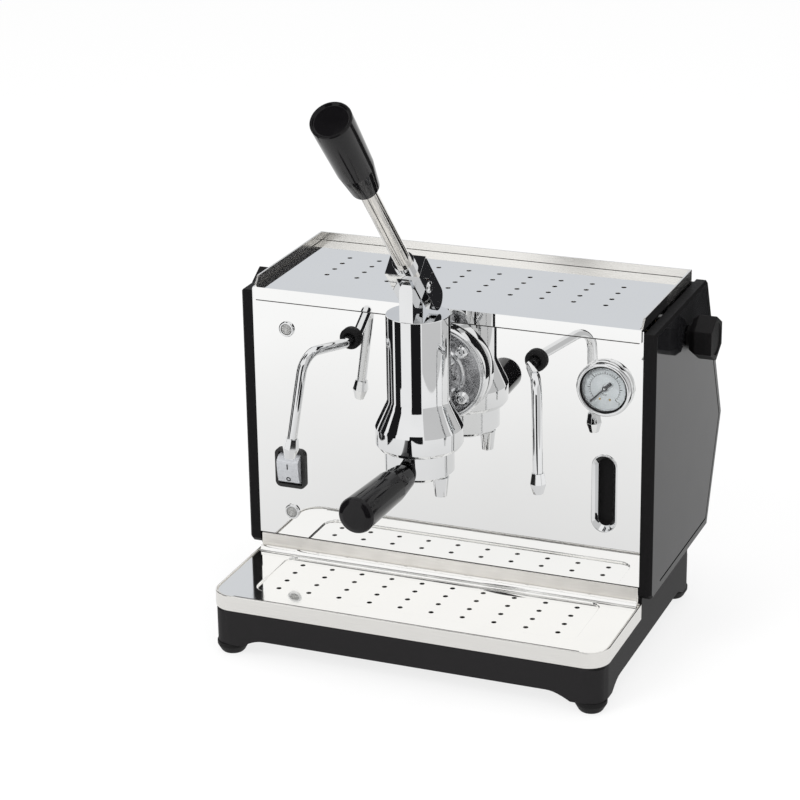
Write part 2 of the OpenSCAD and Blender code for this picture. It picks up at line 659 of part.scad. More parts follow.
// Wands. The runs are the corners of each tube from its socket to its nozzle.
wand_r = wand_w / 2;
wand_bends = [8, 16];
wand_bend_start = -14;
right_run = [[wand_x, socket_y, wand_z], [wand_x, wand_bend_start, wand_z],
             [wand_x + right_spread, -wand_out, wand_z + wand_rise],
             [wand_x + right_spread + 2, -wand_out - 2, wand_z + wand_rise - wand_drop]];
left_run = [[-wand_x, socket_y, wand_z], [-wand_x, wand_bend_start, wand_z],
            [-wand_x - left_spread, -wand_out - 1, wand_z + wand_rise - 1],
            [-wand_x - 2 * left_spread, -wand_out - 4, wand_z + wand_rise - wand_drop + 2]];
module grommet(x) color("#19191a") on_panel() translate([x, 0, wand_z]) rotate([90, 0, 0]) rotate_extrude()
    polygon([[wand_r + run_fit, -sheet - 3], [grommet_neck + 1.6, -sheet - 3],
        [grommet_neck + 1.6, -sheet - drop_fit], [grommet_neck, -sheet - drop_fit],
        [grommet_neck, 0], [grommet_r, 0], [grommet_r, 2.5],
        [grommet_r - 1.5, 4.5], [wand_r + 2, 4.5], [wand_r + run_fit, 2.5]]);
module right_grommet() grommet(wand_x);
module left_grommet() grommet(-wand_x);
module wand(run) color("#c9cbce") on_panel()
    swept_tube(rounded_path(run, wand_bends, 7), wand_r, 16, [1, 0.1, 0]);
module right_wand() wand(right_run);
module left_wand() wand(left_run);
// A nozzle sits on the last stretch of its wand and points along it.
module nozzle(run) {
    tip = run[len(run) - 1];
    dir = unit(tip - run[len(run) - 2]);
    color("#d0d2d4") on_panel() translate(tip) rotate([0, acos(dir[2]), atan2(dir[1], dir[0])]) difference() {
        union() {
            cylinder(d1 = wand_w + 2.2, d2 = wand_w + 5.2, h = 0.5 * nozzle_len, $fn = 8);
            translate([0, 0, 0.5 * nozzle_len])
                cylinder(d1 = wand_w + 5.2, d2 = wand_w, h = 0.5 * nozzle_len, $fn = 8);
        }
        translate([0, 0, nozzle_len - 6]) cylinder(r = 1.2, h = 8);
    }
}
module right_nozzle() nozzle(right_run);
module left_nozzle() nozzle(left_run);

// Front fittings
module on_sight() on_panel() translate([fitting_x, 0, sight_z]) children();
module sight_bezel() color("#d5d6d8") on_sight() difference() {
    union() {
        upright(-sight_out, sight_out) oval(sight_w, sight_h);
        upright(0, sight_sleeve) oval(slot_w + 2, slot_h + 2);
    }
    upright(-sight_out - 1, sight_out + sight_sleeve + 2) oval(slot_w, slot_h);
}
sight_tube_r = 5;
module sight_tube() color("#cfe4e4") on_panel() translate([fitting_x, sight_tube_y, sight_fit_z[0] - 2])
    ring(sight_tube_r, sight_tube_r - 1.5, sight_fit_z[1] - sight_fit_z[0] + 4);
// Elbow from the boiler's end to the tube, one below and one above.
module sight_fittings() color("#bf9d4d") on_panel() for (z = sight_fit_z) difference() {
    translate([fitting_x, 0, z]) {
        translate([0, sight_tube_y, -7]) cylinder(r = sight_tube_r + 3, h = 14);
        along_y(port_r, sight_tube_y, sight_arm_y - sight_tube_y);
        translate([0, sight_arm_y, 0]) sphere(r = port_r + 1);
        translate([boiler_len / 2 - 6 - fitting_x, sight_arm_y, 0]) rotate([0, 90, 0])
            cylinder(r = port_r, h = fitting_x + 6 - boiler_len / 2);
    }
    translate([fitting_x, sight_tube_y, z == sight_fit_z[0] ? z - 2 : z - 8])
        cylinder(r = sight_tube_r + run_fit, h = 10);
}
module on_gauge() on_panel() translate([fitting_x, 0, gauge_z]) children();
bezel_lip = 3;
dial_y = -gauge_out + 5;
module gauge_case() color("#b5b7ba") on_gauge() {
    difference() {
        along_y(gauge_body_r, dial_y, gauge_tail - dial_y);
        along_y(gauge_body_r - 1.5, dial_y - 1, gauge_tail - dial_y - 3);
    }
    along_y(4, gauge_tail - 1, 8);
}
module gauge_bezel() color("#d8dadd") on_gauge() rotate([90, 0, 0]) rotate_extrude() polygon([
    [gauge_body_r + drop_fit, 0], [gauge_w / 2 - 0.8, 0], [gauge_w / 2, 1], [gauge_w / 2, gauge_out - 3],
    [gauge_w / 2 - 2, gauge_out], [gauge_w / 2 - 3.4, gauge_out], [gauge_w / 2 - 4.6, gauge_out - 2],
    [gauge_w / 2 - 4.6, gauge_out - 4.5], [gauge_body_r + drop_fit, gauge_out - 4.5]]);
staff_r = 0.7;
module gauge_dial() color("#eef0f0") on_gauge() difference() {
    along_y(gauge_body_r - 1.6, dial_y + 0.2, 1);
    along_y(staff_r + drop_fit, dial_y - 1, 4);
}
needle_turn = -135;
module gauge_needle() color("#1d1d1f") on_gauge() rotate([0, needle_turn, 0]) {
    along_y(2, dial_y - 1.2, 1.2);
    along_y(staff_r, dial_y - 0.4, 6);
    translate([-0.6, dial_y - 1, -7]) cube([1.2, 0.6, gauge_body_r - 4 + 7]);
    translate([-1.3, dial_y - 1, -7]) cube([2.6, 0.6, 5]);
}
module gauge_lens() color("#dfe9ee") on_gauge() along_y(gauge_w / 2 - 4.7, -gauge_out + 1.4, 1.2);
module on_switch() on_panel() translate([-fitting_x, 0, switch_z]) children();
rocker_w = switch_body_w - 3;
rocker_h = switch_body_h - 4;
rocker_tilt = 9;
module switch_body() color("#1c1c1d") on_switch() difference() {
    union() {
        upright(-switch_out, switch_out) rounded_rect(switch_w, switch_h, 5);
        upright(-0.1, 25) square([switch_body_w, switch_body_h], center = true);
    }
    upright(-switch_out - 1, switch_out + 15) square([rocker_w + 2 * pass_gap, rocker_h + 2 * pass_gap + 1], center = true);
    translate([0, 3, 0]) along_x(1.5 + run_fit, switch_body_w - 0.8);
}
module switch_rocker() color("#c9cacb") on_switch() translate([0, 3, 0]) rotate([rocker_tilt, 0, 0]) {
    intersection() {
        upright(-10.5, 17) square([rocker_w, rocker_h - 1], center = true);
        along_x(rocker_h / 2 + 0.5, rocker_w + 2);
        translate([0, 47.4, 0]) along_x(58, rocker_w + 2);
    }
    along_x(1.5, switch_body_w - 1);
}
module lamps_at() on_panel() for (z = [lamp_high_z, lamp_low_z]) translate([-fitting_x, 0, z])
    rotate([90, 0, 0]) children();
module lamp_rings() color("#d3d5d7") lamps_at() rotate_extrude() polygon([
    [lamp_w / 2 - 1.9, -16], [lamp_w / 2 - 1.4, -16], [lamp_w / 2 - 1.4, 0], [lamp_w / 2, 0],
    [lamp_w / 2, 1.2], [lamp_w / 2 - 0.8, 2], [lamp_w / 2 - 1.9, 2]]);
module lamp_lenses() color("#e8d9c8") lamps_at() {
    translate([0, 0, -12]) cylinder(r = lamp_w / 2 - 1.95, h = 13.4);
    translate([0, 0, 1.3]) intersection() {
        cylinder(r = lamp_w / 2 - 1.95, h = 2);
        translate([0, 0, -5]) sphere(r = 6.4);
    }
}
// Bush for the mains cord, pushed up into a notch of the base's back wall.
module cord_gland() color("#1d1d1e") on_panel() translate([gland_x, base_rear, gland_z]) difference() {
    union() {
        along_y(gland_r, 0, gland_out);
        translate([-gland_neck, -base_wall - 1, arch_z - gland_z])
            cube([2 * gland_neck, base_wall + 2, gland_z + gland_neck - arch_z]);
        along_y(gland_r, -base_wall - gland_in, gland_in);
    }
    along_y(cord_r, -base_wall - gland_in - 1, base_wall + gland_in + gland_out + 2);
}

// Lever group
cylinder_r = cylinder_w / 2;
bore_r = bore_w / 2;
collar_r = collar_w / 2;
cap_t = 8;
seat_z = collar_z + 14;
bell_z = collar_z + 17;
flare_z = bell_z + 20;
gasket_t = 1.5;
flange_face = -7.5;
flange_rim = 11.5;
rod_r = 4;
lug_w = 11;
lug_r = (cylinder_r - 0.8 - rod_r - pass_gap) / 2;
lug_top = fulcrum_z - 2;
pin_r = 3;
mouth_r = pf_w / 2 + 0.7;
ear_r = collar_r - 3;
ear_z = collar_z + 2.2;
ear_h = 4;
ear_w = 16;
unlock_turn = 45;
port_z = seat_z + 22;
module group_body() color("#d9dbde") difference() {
    union() {
        on_group() rotate_extrude() polygon([[0, collar_z], [collar_r - 1, collar_z],
            [collar_r, collar_z + 1], [collar_r, bell_z - 1.5], [collar_r - 1, bell_z],
            [cylinder_r + 1.5, flare_z - 4],
            [cylinder_r, flare_z], [cylinder_r, cap_z - 0.6], [cylinder_r - 0.6, cap_z], [0, cap_z]]);
        on_panel() translate([0, 0, flange_z]) {
            along_y(neck_w / 2, -group_out, group_out - gasket_t - 1);
            rotate([90, 0, 0]) rotate_extrude() polygon([[0, gasket_t], [flange_w / 2, gasket_t],
                [flange_w / 2, flange_rim], [flange_w / 2 - 4, flange_rim], [flange_w / 2 - 5, -flange_face],
                [0, -flange_face]]);
        }
        on_group() translate([0, -rod_r - pass_gap - lug_r, 0]) {
            translate([-lug_w / 2, -lug_r, cap_z - 4]) cube([lug_w, 2 * lug_r, lug_top - cap_z + 4]);
            translate([0, 0, lug_top]) along_x(lug_r, lug_w);
        }
    }
    on_panel() translate([0, 0, port_z]) along_y(4, -group_out, group_out);
    on_panel() flange_bolts_at() along_y(bolt_r + run_fit, -15, 20);
    on_group() {
        translate([0, 0, seat_z - eps]) cylinder(r = bore_r, h = cap_z - cap_t - seat_z);
        translate([0, 0, cap_z - cap_t - 1]) cylinder(r = rod_r + run_fit, h = cap_t + 2);
        translate([0, 0, ear_z + ear_h]) cylinder(r = mouth_r + 1, h = seat_z - ear_z - ear_h);
        translate([0, 0, ear_z - 0.4]) cylinder(r = ear_r + pass_gap, h = ear_h + 0.8);
        translate([0, 0, collar_z - 1]) cylinder(r = mouth_r, h = 5);
        rotate([0, 0, -pf_turn - unlock_turn]) intersection() {
            translate([0, 0, collar_z - 1]) cylinder(r = ear_r + pass_gap + 0.2, h = 5);
            cube([2 * collar_w, ear_w + 2, 2 * cap_z], center = true);
        }
    }
    translate([0, fulcrum_y, fulcrum_z]) along_x(pin_r + run_fit, lug_w + 2);
}
module group_gasket() color("#2a2a28") on_panel() difference() {
    translate([0, 0, flange_z]) along_y(flange_w / 2 - 1, -gasket_t, gasket_t);
    translate([0, 0, flange_z]) along_y(water_port, -gasket_t - 1, gasket_t + 2);
    flange_bolts_at() along_y(bolt_r + drop_fit, -gasket_t - 1, gasket_t + 2);
}
module group_bolts() color("#e0e1e3") on_panel() flange_bolts_at() {
    along_y(bolt_r, flange_face, sheet + neck_plate - flange_face);
    intersection() {
        along_y(6, flange_face - 5, 5);
        translate([0, flange_face + 2.2, 0]) sphere(r = 7.2);
    }
}
screen_r = bore_r + 1;
module head_gasket() color("#232321") on_group() translate([0, 0, seat_z - 5])
    ring(mouth_r + 1 - run_fit, screen_r, 5);
module shower_screen() color("#c7c9cb") on_group() difference() {
    translate([0, 0, seat_z - 4]) cylinder(r = screen_r - run_fit, h = 1.2);
    for (n = [1 : 3], k = [0 : 6 * n - 1]) rotate([0, 0, 60 * k / n]) translate([5.6 * n, 0, seat_z - 5])
        cylinder(r = 0.9, h = 4, $fn = 16);
}
piston_z = seat_z + 1;
piston_h = 30;
seal_h = 3;
module piston() color("#bfa050") on_group() difference() {
    translate([0, 0, piston_z]) cylinder(r = bore_r - 0.4, h = piston_h);
    for (z = [piston_z + 3, piston_z + piston_h - 6]) translate([0, 0, z]) ring(bore_r, bore_r - 3, seal_h);
    translate([0, 0, piston_z + 6]) cylinder(r = rod_r, h = piston_h);
}
module piston_seals() color("#1e1e1e") on_group() for (z = [piston_z + 3, piston_z + piston_h - 6])
    translate([0, 0, z + 0.1]) ring(bore_r - run_fit, bore_r - 3 + run_fit, seal_h - 0.2);
cross_r = 2;
cross_up = 14;
cross_z = cap_z + cross_up;
module piston_rod() color("#c4c6c8") on_group() difference() {
    translate([0, 0, piston_z + 6]) cylinder(r = rod_r, h = cross_z + 5 - piston_z - 6);
    translate([0, 0, cross_z]) along_x(cross_r + run_fit, 3 * rod_r);
}
channel_w = lug_w + 2 * pass_gap;
slot_depth = 5;
module cross_pin() color("#a9abad") on_group() translate([0, 0, cross_z])
    along_x(cross_r, channel_w + 2 * slot_depth - 1);
// Main spring: a round wire with closed ends between the piston and the cap.
spring_turns = 6;
spring_wire = 1.6;
spring_r = bore_r - 5;
spring_low = piston_z + piston_h + spring_wire + 0.1;
spring_high = cap_z - cap_t - spring_wire - 0.1;
module main_spring() {
    rings = spring_turns * 16;
    gap = (spring_high - spring_low) / spring_turns - 2 * spring_wire;
    echo(least_spring_gap = gap);
    color("#8c8e91") on_group() swept_tube([for (i = [0 : rings])
        [spring_r * cos(360 * i / 16), spring_r * sin(360 * i / 16),
         spring_low + (spring_high - spring_low) * i / rings]], spring_wire, 8, [0, 0, 1]);
}
module fulcrum_pin() color("#dcdee0") translate([0, fulcrum_y, fulcrum_z]) {
    along_x(pin_r, fork_w + 1);
    for (s = [-1, 1]) translate([s * (fork_w / 2 + 0.6), 0, 0]) along_x(pin_r + 1.6, 1.2);
}

// Lever, in its own frame with the fulcrum at the origin
fork_top = 24;
fork_end = -23.6;
bridge_z = 18.5;
collar_h = 6;
// Place of the cross pin in the lever's frame after a pull of a degrees.
function cross_at(a) = let (
    y = fulcrum_out, z = cross_z - fulcrum_z + piston_lift * a / lever_pull, t = lever_lean + a
) [y * cos(t) + z * sin(t), -y * sin(t) + z * cos(t)];
module lever_fork() color("#d4d6d9") on_lever() difference() {
    union() {
        translate([-fork_w / 2, lever_offset - fork_t / 2, fork_end])
            cube([fork_w, fork_t, fork_top - fork_end]);
        translate([0, lever_offset, fork_end]) along_x(fork_t / 2, fork_w);
        translate([0, lever_offset, fork_top]) cylinder(r = rod_w / 2 + 2, h = collar_h);
    }
    translate([-channel_w / 2, -2 * fork_t, fork_end - fork_t])
        cube([channel_w, 4 * fork_t, bridge_z - fork_end + fork_t]);
    translate([0, lever_offset, bridge_z - 1]) cylinder(r = rod_w / 2 + run_fit, h = fork_top);
    along_x(pin_r + run_fit, fork_w + 2);
    for (k = [0 : 24]) let (p = cross_at(lever_pull * k / 24))
        translate([0, p[0], p[1]]) along_x(cross_r + 0.3, channel_w + 2 * slot_depth);
}
module lever_rod() color("#c8c6c1") on_lever() translate([0, lever_offset, bridge_z + 0.2])
    cylinder(r = rod_w / 2, h = grip_start + grip_len / 2 - bridge_z);
grip_mid = 0.33 * grip_len;
module lever_grip() color("#151516") on_lever() translate([0, lever_offset, grip_start])
    rotate_extrude() polygon([
        [rod_w / 2 + run_fit, 0], [grip_neck_w / 2 - 1.5, 0], [grip_neck_w / 2, 2],
        [grip_w / 2 - 1.3, grip_mid], [grip_w / 2 - 0.2, grip_len - 15],
        [grip_w / 2, grip_len - grip_edge], [grip_w / 2 - grip_edge, grip_len],
        [grip_w / 2 - 2.2, grip_len], [grip_w / 2 - 3.2, grip_len - 2], [0, grip_len - 2.6],
        [0, grip_len / 2 + 0.3], [rod_w / 2 + run_fit, grip_len / 2 + 0.3]]);

// Portafilter
pf_r = pf_w / 2;
pf_top = seat_z - 6.2;
pf_wall = 2.4;
pf_floor = 3;
stud_r = 4;
stud_out = 40;
module portafilter_body() color("#d7d9dc") on_portafilter() difference() {
    union() {
        translate([0, 0, pf_z]) rotate_extrude() polygon([[0, 0], [pf_r - 2.5, 0], [pf_r, 2.5],
            [pf_r, pf_top - pf_z], [0, pf_top - pf_z]]);
        intersection() {
            translate([0, 0, ear_z]) cylinder(r = ear_r, h = ear_h);
            cube([3 * ear_r, ear_w, 2 * cap_z], center = true);
        }
        translate([0, 0, handle_z]) along_y(handle_z - pf_z - drop_fit, -pf_r - 2, pf_r);
        translate([0, 0, handle_z]) along_y(stud_r, -pf_r - stud_out, stud_out + 1);
    }
    translate([0, 0, pf_z + pf_floor]) cylinder(r = pf_r - pf_wall, h = pf_top);
    translate([0, 0, pf_z - 1]) cylinder(r = 5, h = pf_floor + 2);
}
basket_r = pf_r - pf_wall - drop_fit;
basket_t = 0.7;
basket_depth = pf_top - pf_z - pf_floor - 6;
module filter_basket() color("#cbccce") on_portafilter() translate([0, 0, pf_top]) difference() {
    union() {
        translate([0, 0, -basket_depth]) cylinder(r = basket_r, h = basket_depth + 0.9);
        cylinder(r = pf_r, h = 0.9);
    }
    translate([0, 0, -basket_depth + basket_t]) cylinder(r = basket_r - basket_t, h = basket_depth + 2);
    for (n = [1 : 3], k = [0 : 6 * n - 1]) rotate([0, 0, 60 * k / n]) translate([6 * n, 0, -basket_depth - 1])
        cylinder(r = 0.8, h = 3, $fn = 16);
}
module twin_spout() color("#d4d6d9") on_portafilter() difference() {
    union() {
        translate([0, 0, pf_z - 5]) cylinder(r1 = 15, r2 = pf_r - 3, h = 5);
        for (x = [-1, 1]) translate([x * spout_gap / 2, 0, spout_z])
            cylinder(r1 = 4.8, r2 = 6.6, h = pf_z - 2 - spout_z);
    }
    for (x = [-1, 1]) translate([x * spout_gap / 2, 0, spout_z - 1]) cylinder(r = 3, h = 9);
}
handle_root = pf_r + 1.5;
handle_neck = 10.5;
module portafilter_handle() color("#141415") on_portafilter() translate([0, -handle_root, handle_z])
    rotate([90, 0, 0]) rotate_extrude() polygon([
        [stud_r + run_fit, 0.6], [handle_neck - 1.2, 0.6], [handle_neck, 1.8],
        [handle_w / 2 - 1.3, 0.29 * handle_len],
        [handle_w / 2, handle_len - 5], [handle_w / 2 - 1.5, handle_len - 1.5],
        [handle_w / 2 - 5, handle_len], [0, handle_len], [0, stud_out - 1],
        [stud_r + run_fit, stud_out - 1]]);

base();
feet();
chassis_plate();
front_panel();
left_side_panel();
right_side_panel();
rear_panel();
rear_screws();
cup_tray();
drip_tray();
drip_grid();
boiler_cradle();
boiler();
heating_element();
pressure_switch();
safety_valve();
left_valve();
right_valve();
left_spindle();
right_spindle();
left_knob();
right_knob();
copper_pipes();
left_grommet();
right_grommet();
left_wand();
right_wand();
left_nozzle();
right_nozzle();
sight_bezel();
sight_tube();
sight_fittings();
gauge_case();
gauge_bezel();
gauge_dial();
gauge_needle();
gauge_lens();
switch_body();
switch_rocker();
lamp_rings();
lamp_lenses();
cord_gland();
group_body();
group_gasket();
group_bolts();
head_gasket();
shower_screen();
piston();
piston_seals();
piston_rod();
cross_pin();
main_spring();
fulcrum_pin();
lever_fork();
lever_rod();
lever_grip();
portafilter_body();
filter_basket();
twin_spout();
portafilter_handle();
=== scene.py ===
from math import cos, pi, radians, sin, tan

import bpy
from mathutils import Matrix, Vector


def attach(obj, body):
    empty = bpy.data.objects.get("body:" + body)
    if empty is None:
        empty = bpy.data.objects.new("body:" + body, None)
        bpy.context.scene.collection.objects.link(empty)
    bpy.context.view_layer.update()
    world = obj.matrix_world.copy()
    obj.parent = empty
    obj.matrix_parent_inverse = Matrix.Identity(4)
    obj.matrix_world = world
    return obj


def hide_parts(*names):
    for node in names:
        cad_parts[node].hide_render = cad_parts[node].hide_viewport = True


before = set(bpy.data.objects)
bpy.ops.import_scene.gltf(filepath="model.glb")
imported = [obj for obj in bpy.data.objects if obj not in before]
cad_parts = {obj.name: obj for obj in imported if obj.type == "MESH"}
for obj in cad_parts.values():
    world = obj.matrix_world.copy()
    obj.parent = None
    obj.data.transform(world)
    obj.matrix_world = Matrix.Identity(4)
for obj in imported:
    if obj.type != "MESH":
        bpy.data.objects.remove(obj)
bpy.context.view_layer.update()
bpy.context.scene.view_settings.view_transform = "Standard"


# ---------------------------------------------------------------- Base
# A low cast base with a lobe at each corner and shallow arches between them. It is
# powder-coated in charcoal with a fine grain, and the rest of the machine stands on its deck.
PANEL_Y = 0.009494


def only(piece):
    """Leaves one piece selected and active, in object mode."""
    if bpy.context.mode != "OBJECT":
        bpy.ops.object.mode_set(mode="OBJECT")
    bpy.ops.object.select_all(action="DESELECT")
    piece.select_set(True)
    bpy.context.view_layer.objects.active = piece


def from_solid(node, name):
    """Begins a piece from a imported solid, with its loose triangles merged into whole flats."""
    piece = bpy.data.objects.new(name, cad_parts[node].data.copy())
    bpy.context.scene.collection.objects.link(piece)
    piece.data.materials.clear()
    only(piece)
    bpy.ops.mesh.customdata_custom_splitnormals_clear()
    bpy.ops.object.mode_set(mode="EDIT")
    bpy.ops.mesh.select_all(action="SELECT")
    bpy.ops.mesh.remove_doubles(threshold=1e-6)
    for axis in ((1.0, 0.0, 0.0), (0.0, 1.0, 0.0)):
        middle = sum((Vector(corner) for corner in piece.bound_box), Vector()) / 8
        bpy.ops.mesh.select_all(action="SELECT")
        bpy.ops.mesh.bisect(plane_co=middle, plane_no=axis)
        bpy.ops.mesh.mark_seam(clear=False)
    bpy.ops.mesh.select_all(action="SELECT")
    bpy.ops.mesh.dissolve_limited(angle_limit=radians(0.5), delimit={"SEAM"})
    bpy.ops.object.mode_set(mode="OBJECT")
    return piece


def break_edges(piece, width, segments=3, angle=30.0):
    """Rounds the sharp edges of a piece by a small radius."""
    only(piece)
    edges = piece.modifiers.new("edges", "BEVEL")
    edges.width = width
    edges.segments = segments
    edges.limit_method = "ANGLE"
    edges.angle_limit = radians(angle)
    bpy.ops.object.modifier_apply(modifier="edges")
    bpy.ops.object.shade_smooth_by_angle(angle=radians(32))
    flats = piece.modifiers.new("flats", "WEIGHTED_NORMAL")
    flats.keep_sharp = True
    bpy.ops.object.modifier_apply(modifier="flats")
    return piece


def finish(name, color, metallic=0.0, roughness=0.5, **sockets):
    """A material with its constant values on the shader's own sockets."""
    material = bpy.data.materials.new(name)
    material.use_nodes = True
    shader = material.node_tree.nodes["Principled BSDF"]
    shader.inputs["Base Color"].default_value = (*color, 1.0)
    shader.inputs["Metallic"].default_value = metallic
    shader.inputs["Roughness"].default_value = roughness
    for socket, value in sockets.items():
        shader.inputs[socket.replace("_", " ")].default_value = value
    return material


def uneven_group():
    """Shared surface noise: roughness between two values, a bump height and a mask."""
    group = bpy.data.node_groups.new("uneven surface", "ShaderNodeTree")
    face = group.interface
    face.new_socket("Stretch", in_out="INPUT", socket_type="NodeSocketVector")
    for socket in ("Scale", "Low", "High"):
        face.new_socket(socket, in_out="INPUT", socket_type="NodeSocketFloat")
    for socket in ("Roughness", "Height", "Mask"):
        face.new_socket(socket, in_out="OUTPUT", socket_type="NodeSocketFloat")
    nodes, links = group.nodes, group.links
    given, result = nodes.new("NodeGroupInput"), nodes.new("NodeGroupOutput")
    where, stretch = nodes.new("ShaderNodeTexCoord"), nodes.new("ShaderNodeVectorMath")
    stretch.operation = "MULTIPLY"
    noise = nodes.new("ShaderNodeTexNoise")
    rough, mask = (nodes.new("ShaderNodeMapRange") for _ in range(2))
    noise.inputs["Detail"].default_value = 4.0
    least, most = 0.34, 0.66
    for ramp in (rough, mask):
        ramp.inputs["From Min"].default_value = least
        ramp.inputs["From Max"].default_value = most
    links.new(where.outputs["Object"], stretch.inputs[0])
    links.new(given.outputs["Stretch"], stretch.inputs[1])
    links.new(stretch.outputs["Vector"], noise.inputs["Vector"])
    links.new(given.outputs["Scale"], noise.inputs["Scale"])
    links.new(noise.outputs["Fac"], rough.inputs["Value"])
    links.new(given.outputs["Low"], rough.inputs["To Min"])
    links.new(given.outputs["High"], rough.inputs["To Max"])
    links.new(noise.outputs["Fac"], mask.inputs["Value"])
    links.new(rough.outputs["Result"], result.inputs["Roughness"])
    links.new(noise.outputs["Fac"], result.inputs["Height"])
    links.new(mask.outputs["Result"], result.inputs["Mask"])
    return group


uneven = uneven_group()


def worked(material, scale, low, high, bump=0.0, depth=0.0001, tint=None, stretch=(1.0, 1.0, 1.0)):
    """Lays the uneven surface over a material: scale, roughness from low to high, bump, second colour."""
    tree = material.node_tree
    shader = tree.nodes["Principled BSDF"]
    surface = tree.nodes.new("ShaderNodeGroup")
    surface.node_tree = uneven
    for socket, value in (("Stretch", stretch), ("Scale", scale), ("Low", low), ("High", high)):
        surface.inputs[socket].default_value = value
    tree.links.new(surface.outputs["Roughness"], shader.inputs["Roughness"])
    if bump:
        relief = tree.nodes.new("ShaderNodeBump")
        relief.inputs["Strength"].default_value = bump
        relief.inputs["Distance"].default_value = depth
        tree.links.new(surface.outputs["Height"], relief.inputs["Height"])
        tree.links.new(relief.outputs["Normal"], shader.inputs["Normal"])
    if tint:
        blend = tree.nodes.new("ShaderNodeMix")
        blend.data_type = "RGBA"
        blend.inputs["A"].default_value = shader.inputs["Base Color"].default_value
        blend.inputs["B"].default_value = (*tint, 1.0)
        tree.links.new(surface.outputs["Mask"], blend.inputs["Factor"])
        tree.links.new(blend.outputs["Result"], shader.inputs["Base Color"])
    return material


def install(piece, body, slot, material, *nodes):
    """Gives a finished piece its material and its place in the assembly."""
    piece.data.materials.clear()
    piece.data.materials.append(material)
    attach(piece, body)
    if nodes:
        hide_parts(*nodes)
    return piece


def keep_solid(material, *nodes):
    """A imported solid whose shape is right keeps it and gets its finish."""
    for node in nodes:
        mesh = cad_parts[node].data
        mesh.materials.clear()
        mesh.materials.append(material)


powder_coat = worked(finish("powder_coat_charcoal", (0.0110, 0.0103, 0.0110), Specular_IOR_Level=0.18),
                     1500.0, 0.46, 0.62, bump=0.25, tint=(0.0145, 0.0136, 0.0145))
base = break_edges(from_solid("base", "base_casting"), 0.0016)
install(base, "machine", "base_black", powder_coat, "base")
keep_solid(powder_coat, "chassis_plate")


# ---------------------------------------------------------------- Feet
# Four moulded rubber feet, round and flared towards the base. Each sits on a stud in the lobe
# above it.
FOOT_X = 0.153
FOOT_DEPTHS = (-0.084, 0.139)
foot_outline = [(0.0, 0.0), (0.0088, 0.0, 0.0008), (0.0100, 0.0014, 0.0012), (0.0128, 0.0064, 0.0010),
                (0.0129, 0.0100, 0.0008), (0.004, 0.010), (0.004, 0.022), (0.0, 0.022)]


def arc(before, corner, after, radius, steps):
    """Points of the arc that rounds one corner of a path."""
    back, ahead = (before - corner).normalized(), (after - corner).normalized()
    half = back.angle(ahead) / 2
    middle = corner + (back + ahead).normalized() * radius / sin(half)
    first, last = (corner + way * radius / tan(half) - middle for way in (back, ahead))
    return [middle + first.slerp(last, k / steps) * radius for k in range(steps + 1)]


def eased(outline, steps=5):
    """Points of an outline, with an arc at each corner that states a radius."""
    points = []
    for i, corner in enumerate(outline):
        here = Vector(corner[:2])
        if len(corner) == 2:
            points.append(here)
        else:
            points.extend(arc(Vector(outline[i - 1][:2]), here, Vector(outline[i + 1][:2]), corner[2], steps))
    return points


def turned(name, outline, place=Matrix(), steps=72, smooth=30.0):
    """A piece spun about its own Z axis from an outline of (radius, height[, corner radius])."""
    points = eased(outline)
    bpy.ops.object.select_all(action="DESELECT")
    bpy.ops.mesh.primitive_plane_add(size=0.01)
    piece = bpy.context.object
    piece.name = name
    bpy.ops.object.mode_set(mode="EDIT")
    bpy.ops.mesh.select_all(action="SELECT")
    bpy.ops.mesh.merge(type="CENTER")
    bpy.ops.transform.translate(value=(points[0].x, 0.0, points[0].y))
    for a, b in zip(points, points[1:]):
        bpy.ops.mesh.extrude_vertices_move(TRANSFORM_OT_translate={"value": (b.x - a.x, 0.0, b.y - a.y)})
    bpy.ops.mesh.select_all(action="SELECT")
    bpy.ops.mesh.spin(steps=steps, angle=2 * pi, center=(0.0, 0.0, 0.0), axis=(0.0, 0.0, 1.0))
    bpy.ops.mesh.select_all(action="SELECT")
    bpy.ops.mesh.remove_doubles(threshold=2e-6)
    bpy.ops.mesh.normals_make_consistent(inside=False)
    bpy.ops.object.mode_set(mode="OBJECT")
    piece.matrix_world = place
    bpy.ops.object.transform_apply(location=True, rotation=True, scale=True)
    bpy.ops.object.shade_smooth_by_angle(angle=radians(smooth))
    return piece


def joined(name, pieces):
    """Several like pieces made one object."""
    only(pieces[0])
    for piece in pieces[1:]:
        piece.select_set(True)
    bpy.ops.object.join()
    pieces[0].name = name
    return pieces[0]


rubber = worked(finish("black_rubber", (0.0050, 0.0048, 0.0050), Specular_IOR_Level=0.2),
                700.0, 0.46, 0.66, bump=0.2, tint=(0.0075, 0.0072, 0.0075))
feet = joined("rubber_feet", [
    turned("foot", foot_outline, Matrix.Translation((side * FOOT_X, PANEL_Y + depth, 0.0)), 48)
    for side in (-1, 1) for depth in FOOT_DEPTHS])
install(feet, "machine", "rubber_black", rubber, "feet")


